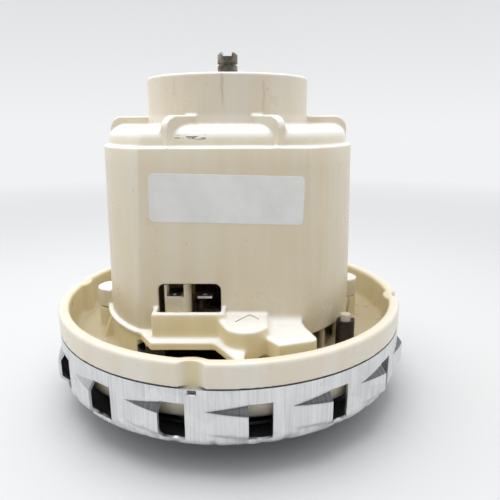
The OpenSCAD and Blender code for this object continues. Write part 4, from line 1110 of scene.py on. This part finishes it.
print("bevels on", len(bevelWidths), "pieces")

# the backdrop's tones and their heights, also the tone that the floor runs into
backdropLook = {
    "low": (0.885, 0.89, 0.905, 1),
    "high": (0.735, 0.745, 0.755, 1),
    "upFrom": (-0.01, 0.24),
}
floorLook = {
    "tone": (0.70, 0.705, 0.715, 1),
    "lighter": 1.02,
    "patchScale": 3.0,
    "specular": 0.1,
    "rough": 0.9,
    "fade": (0.25, 0.75),
    "half": 6.0,
    "sunk": 0.00005,
}


def makeFloor(look):
    material, tree, shader = startMaterial("paleFloor", specular=look["specular"])
    place = partPlace(tree)
    share = cloudy(tree, place, look["patchScale"], detail=2.0)
    lighter = tuple(min(1.0, c * look["lighter"]) for c in look["tone"][:3]) + (1,)
    put(tree, shader.inputs["Base Color"], mixColours(tree, share, look["tone"], lighter))
    put(tree, shader.inputs["Roughness"], look["rough"])
    # far off, the floor runs into the backdrop
    away = addNode(tree, "ShaderNodeVectorMath", {0: place}, operation="LENGTH").outputs["Value"]
    values = {"Color": backdropLook["low"], "Strength": 1.0}
    glow = addNode(tree, "ShaderNodeEmission", values).outputs[0]
    far = spread(tree, away, *look["fade"])
    both = addNode(tree, "ShaderNodeMixShader", {0: far, 1: shader.outputs[0], 2: glow}).outputs[0]
    put(tree, tree.nodes["Material Output"].inputs["Surface"], both)
    h = look["half"]
    corners = [(-h, -h, 0), (h, -h, 0), (h, h, 0), (-h, h, 0)]
    mesh = meshFrom("floor", corners, [(0, 1, 2, 3)], smooth=False)
    floor = placed("floor", mesh, material)
    floor.location.z = -look["sunk"]


# levels of the room run from front to rear, low down and overhead
lightLook = {
    "low": (0.28, 1.05),
    "lowY": (-0.8, 0.2),
    "top": (1.10, 0.70),
    "topY": (-0.35, 0.35),
    "topZ": (0.50, 0.85),
    "leftMore": 0.04,
    "lampAt": (-0.05, -0.01, 0.50),
    "lampSize": 0.46,
    "lampPower": 1.6,
}


# a white room: dim low in front, bright overhead and most so in front, a soft round lamp above the
# motor; the camera itself sees only the plain backdrop
def makeLight(look):
    world = bpy.data.worlds.new("studio")
    scene.world = world
    world.use_nodes = True
    tree = world.node_tree
    tree.nodes.clear()
    x, y, z = splitXyz(tree, addNode(tree, "ShaderNodeTexCoord").outputs["Generated"])
    low = spread(tree, y, *look["lowY"], *look["low"])
    top = spread(tree, y, *look["topY"], *look["top"])
    high = spread(tree, z, *look["topZ"])
    level = maths(tree, "MULTIPLY_ADD", high, maths(tree, "SUBTRACT", top, low), low)
    left = maths(tree, "SUBTRACT", 1.0, product(tree, x, look["leftMore"]))
    values = {"Color": (1, 1, 1, 1), "Strength": product(tree, level, left)}
    lit = addNode(tree, "ShaderNodeBackground", values).outputs[0]
    rise = spread(tree, z, *backdropLook["upFrom"])
    tone = mixColours(tree, rise, backdropLook["low"], backdropLook["high"])
    seen = addNode(tree, "ShaderNodeBackground", {"Color": tone, "Strength": 1.0}).outputs[0]
    direct = addNode(tree, "ShaderNodeLightPath").outputs["Is Camera Ray"]
    both = addNode(tree, "ShaderNodeMixShader", {0: direct, 1: lit, 2: seen}).outputs[0]
    put(tree, addNode(tree, "ShaderNodeOutputWorld").inputs["Surface"], both)
    data = bpy.data.lights.new("softTop", "AREA")
    data.shape = "DISK"
    data.size = look["lampSize"]
    data.energy = look["lampPower"]
    lamp = bpy.data.objects.new("softTop", data)
    lamp.location = look["lampAt"]
    lamp.rotation_euler = Vector(look["lampAt"]).to_track_quat("Z", "Y").to_euler()
    scene.collection.objects.link(lamp)


makeFloor(floorLook)
makeLight(lightLook)
print("floor and light set")
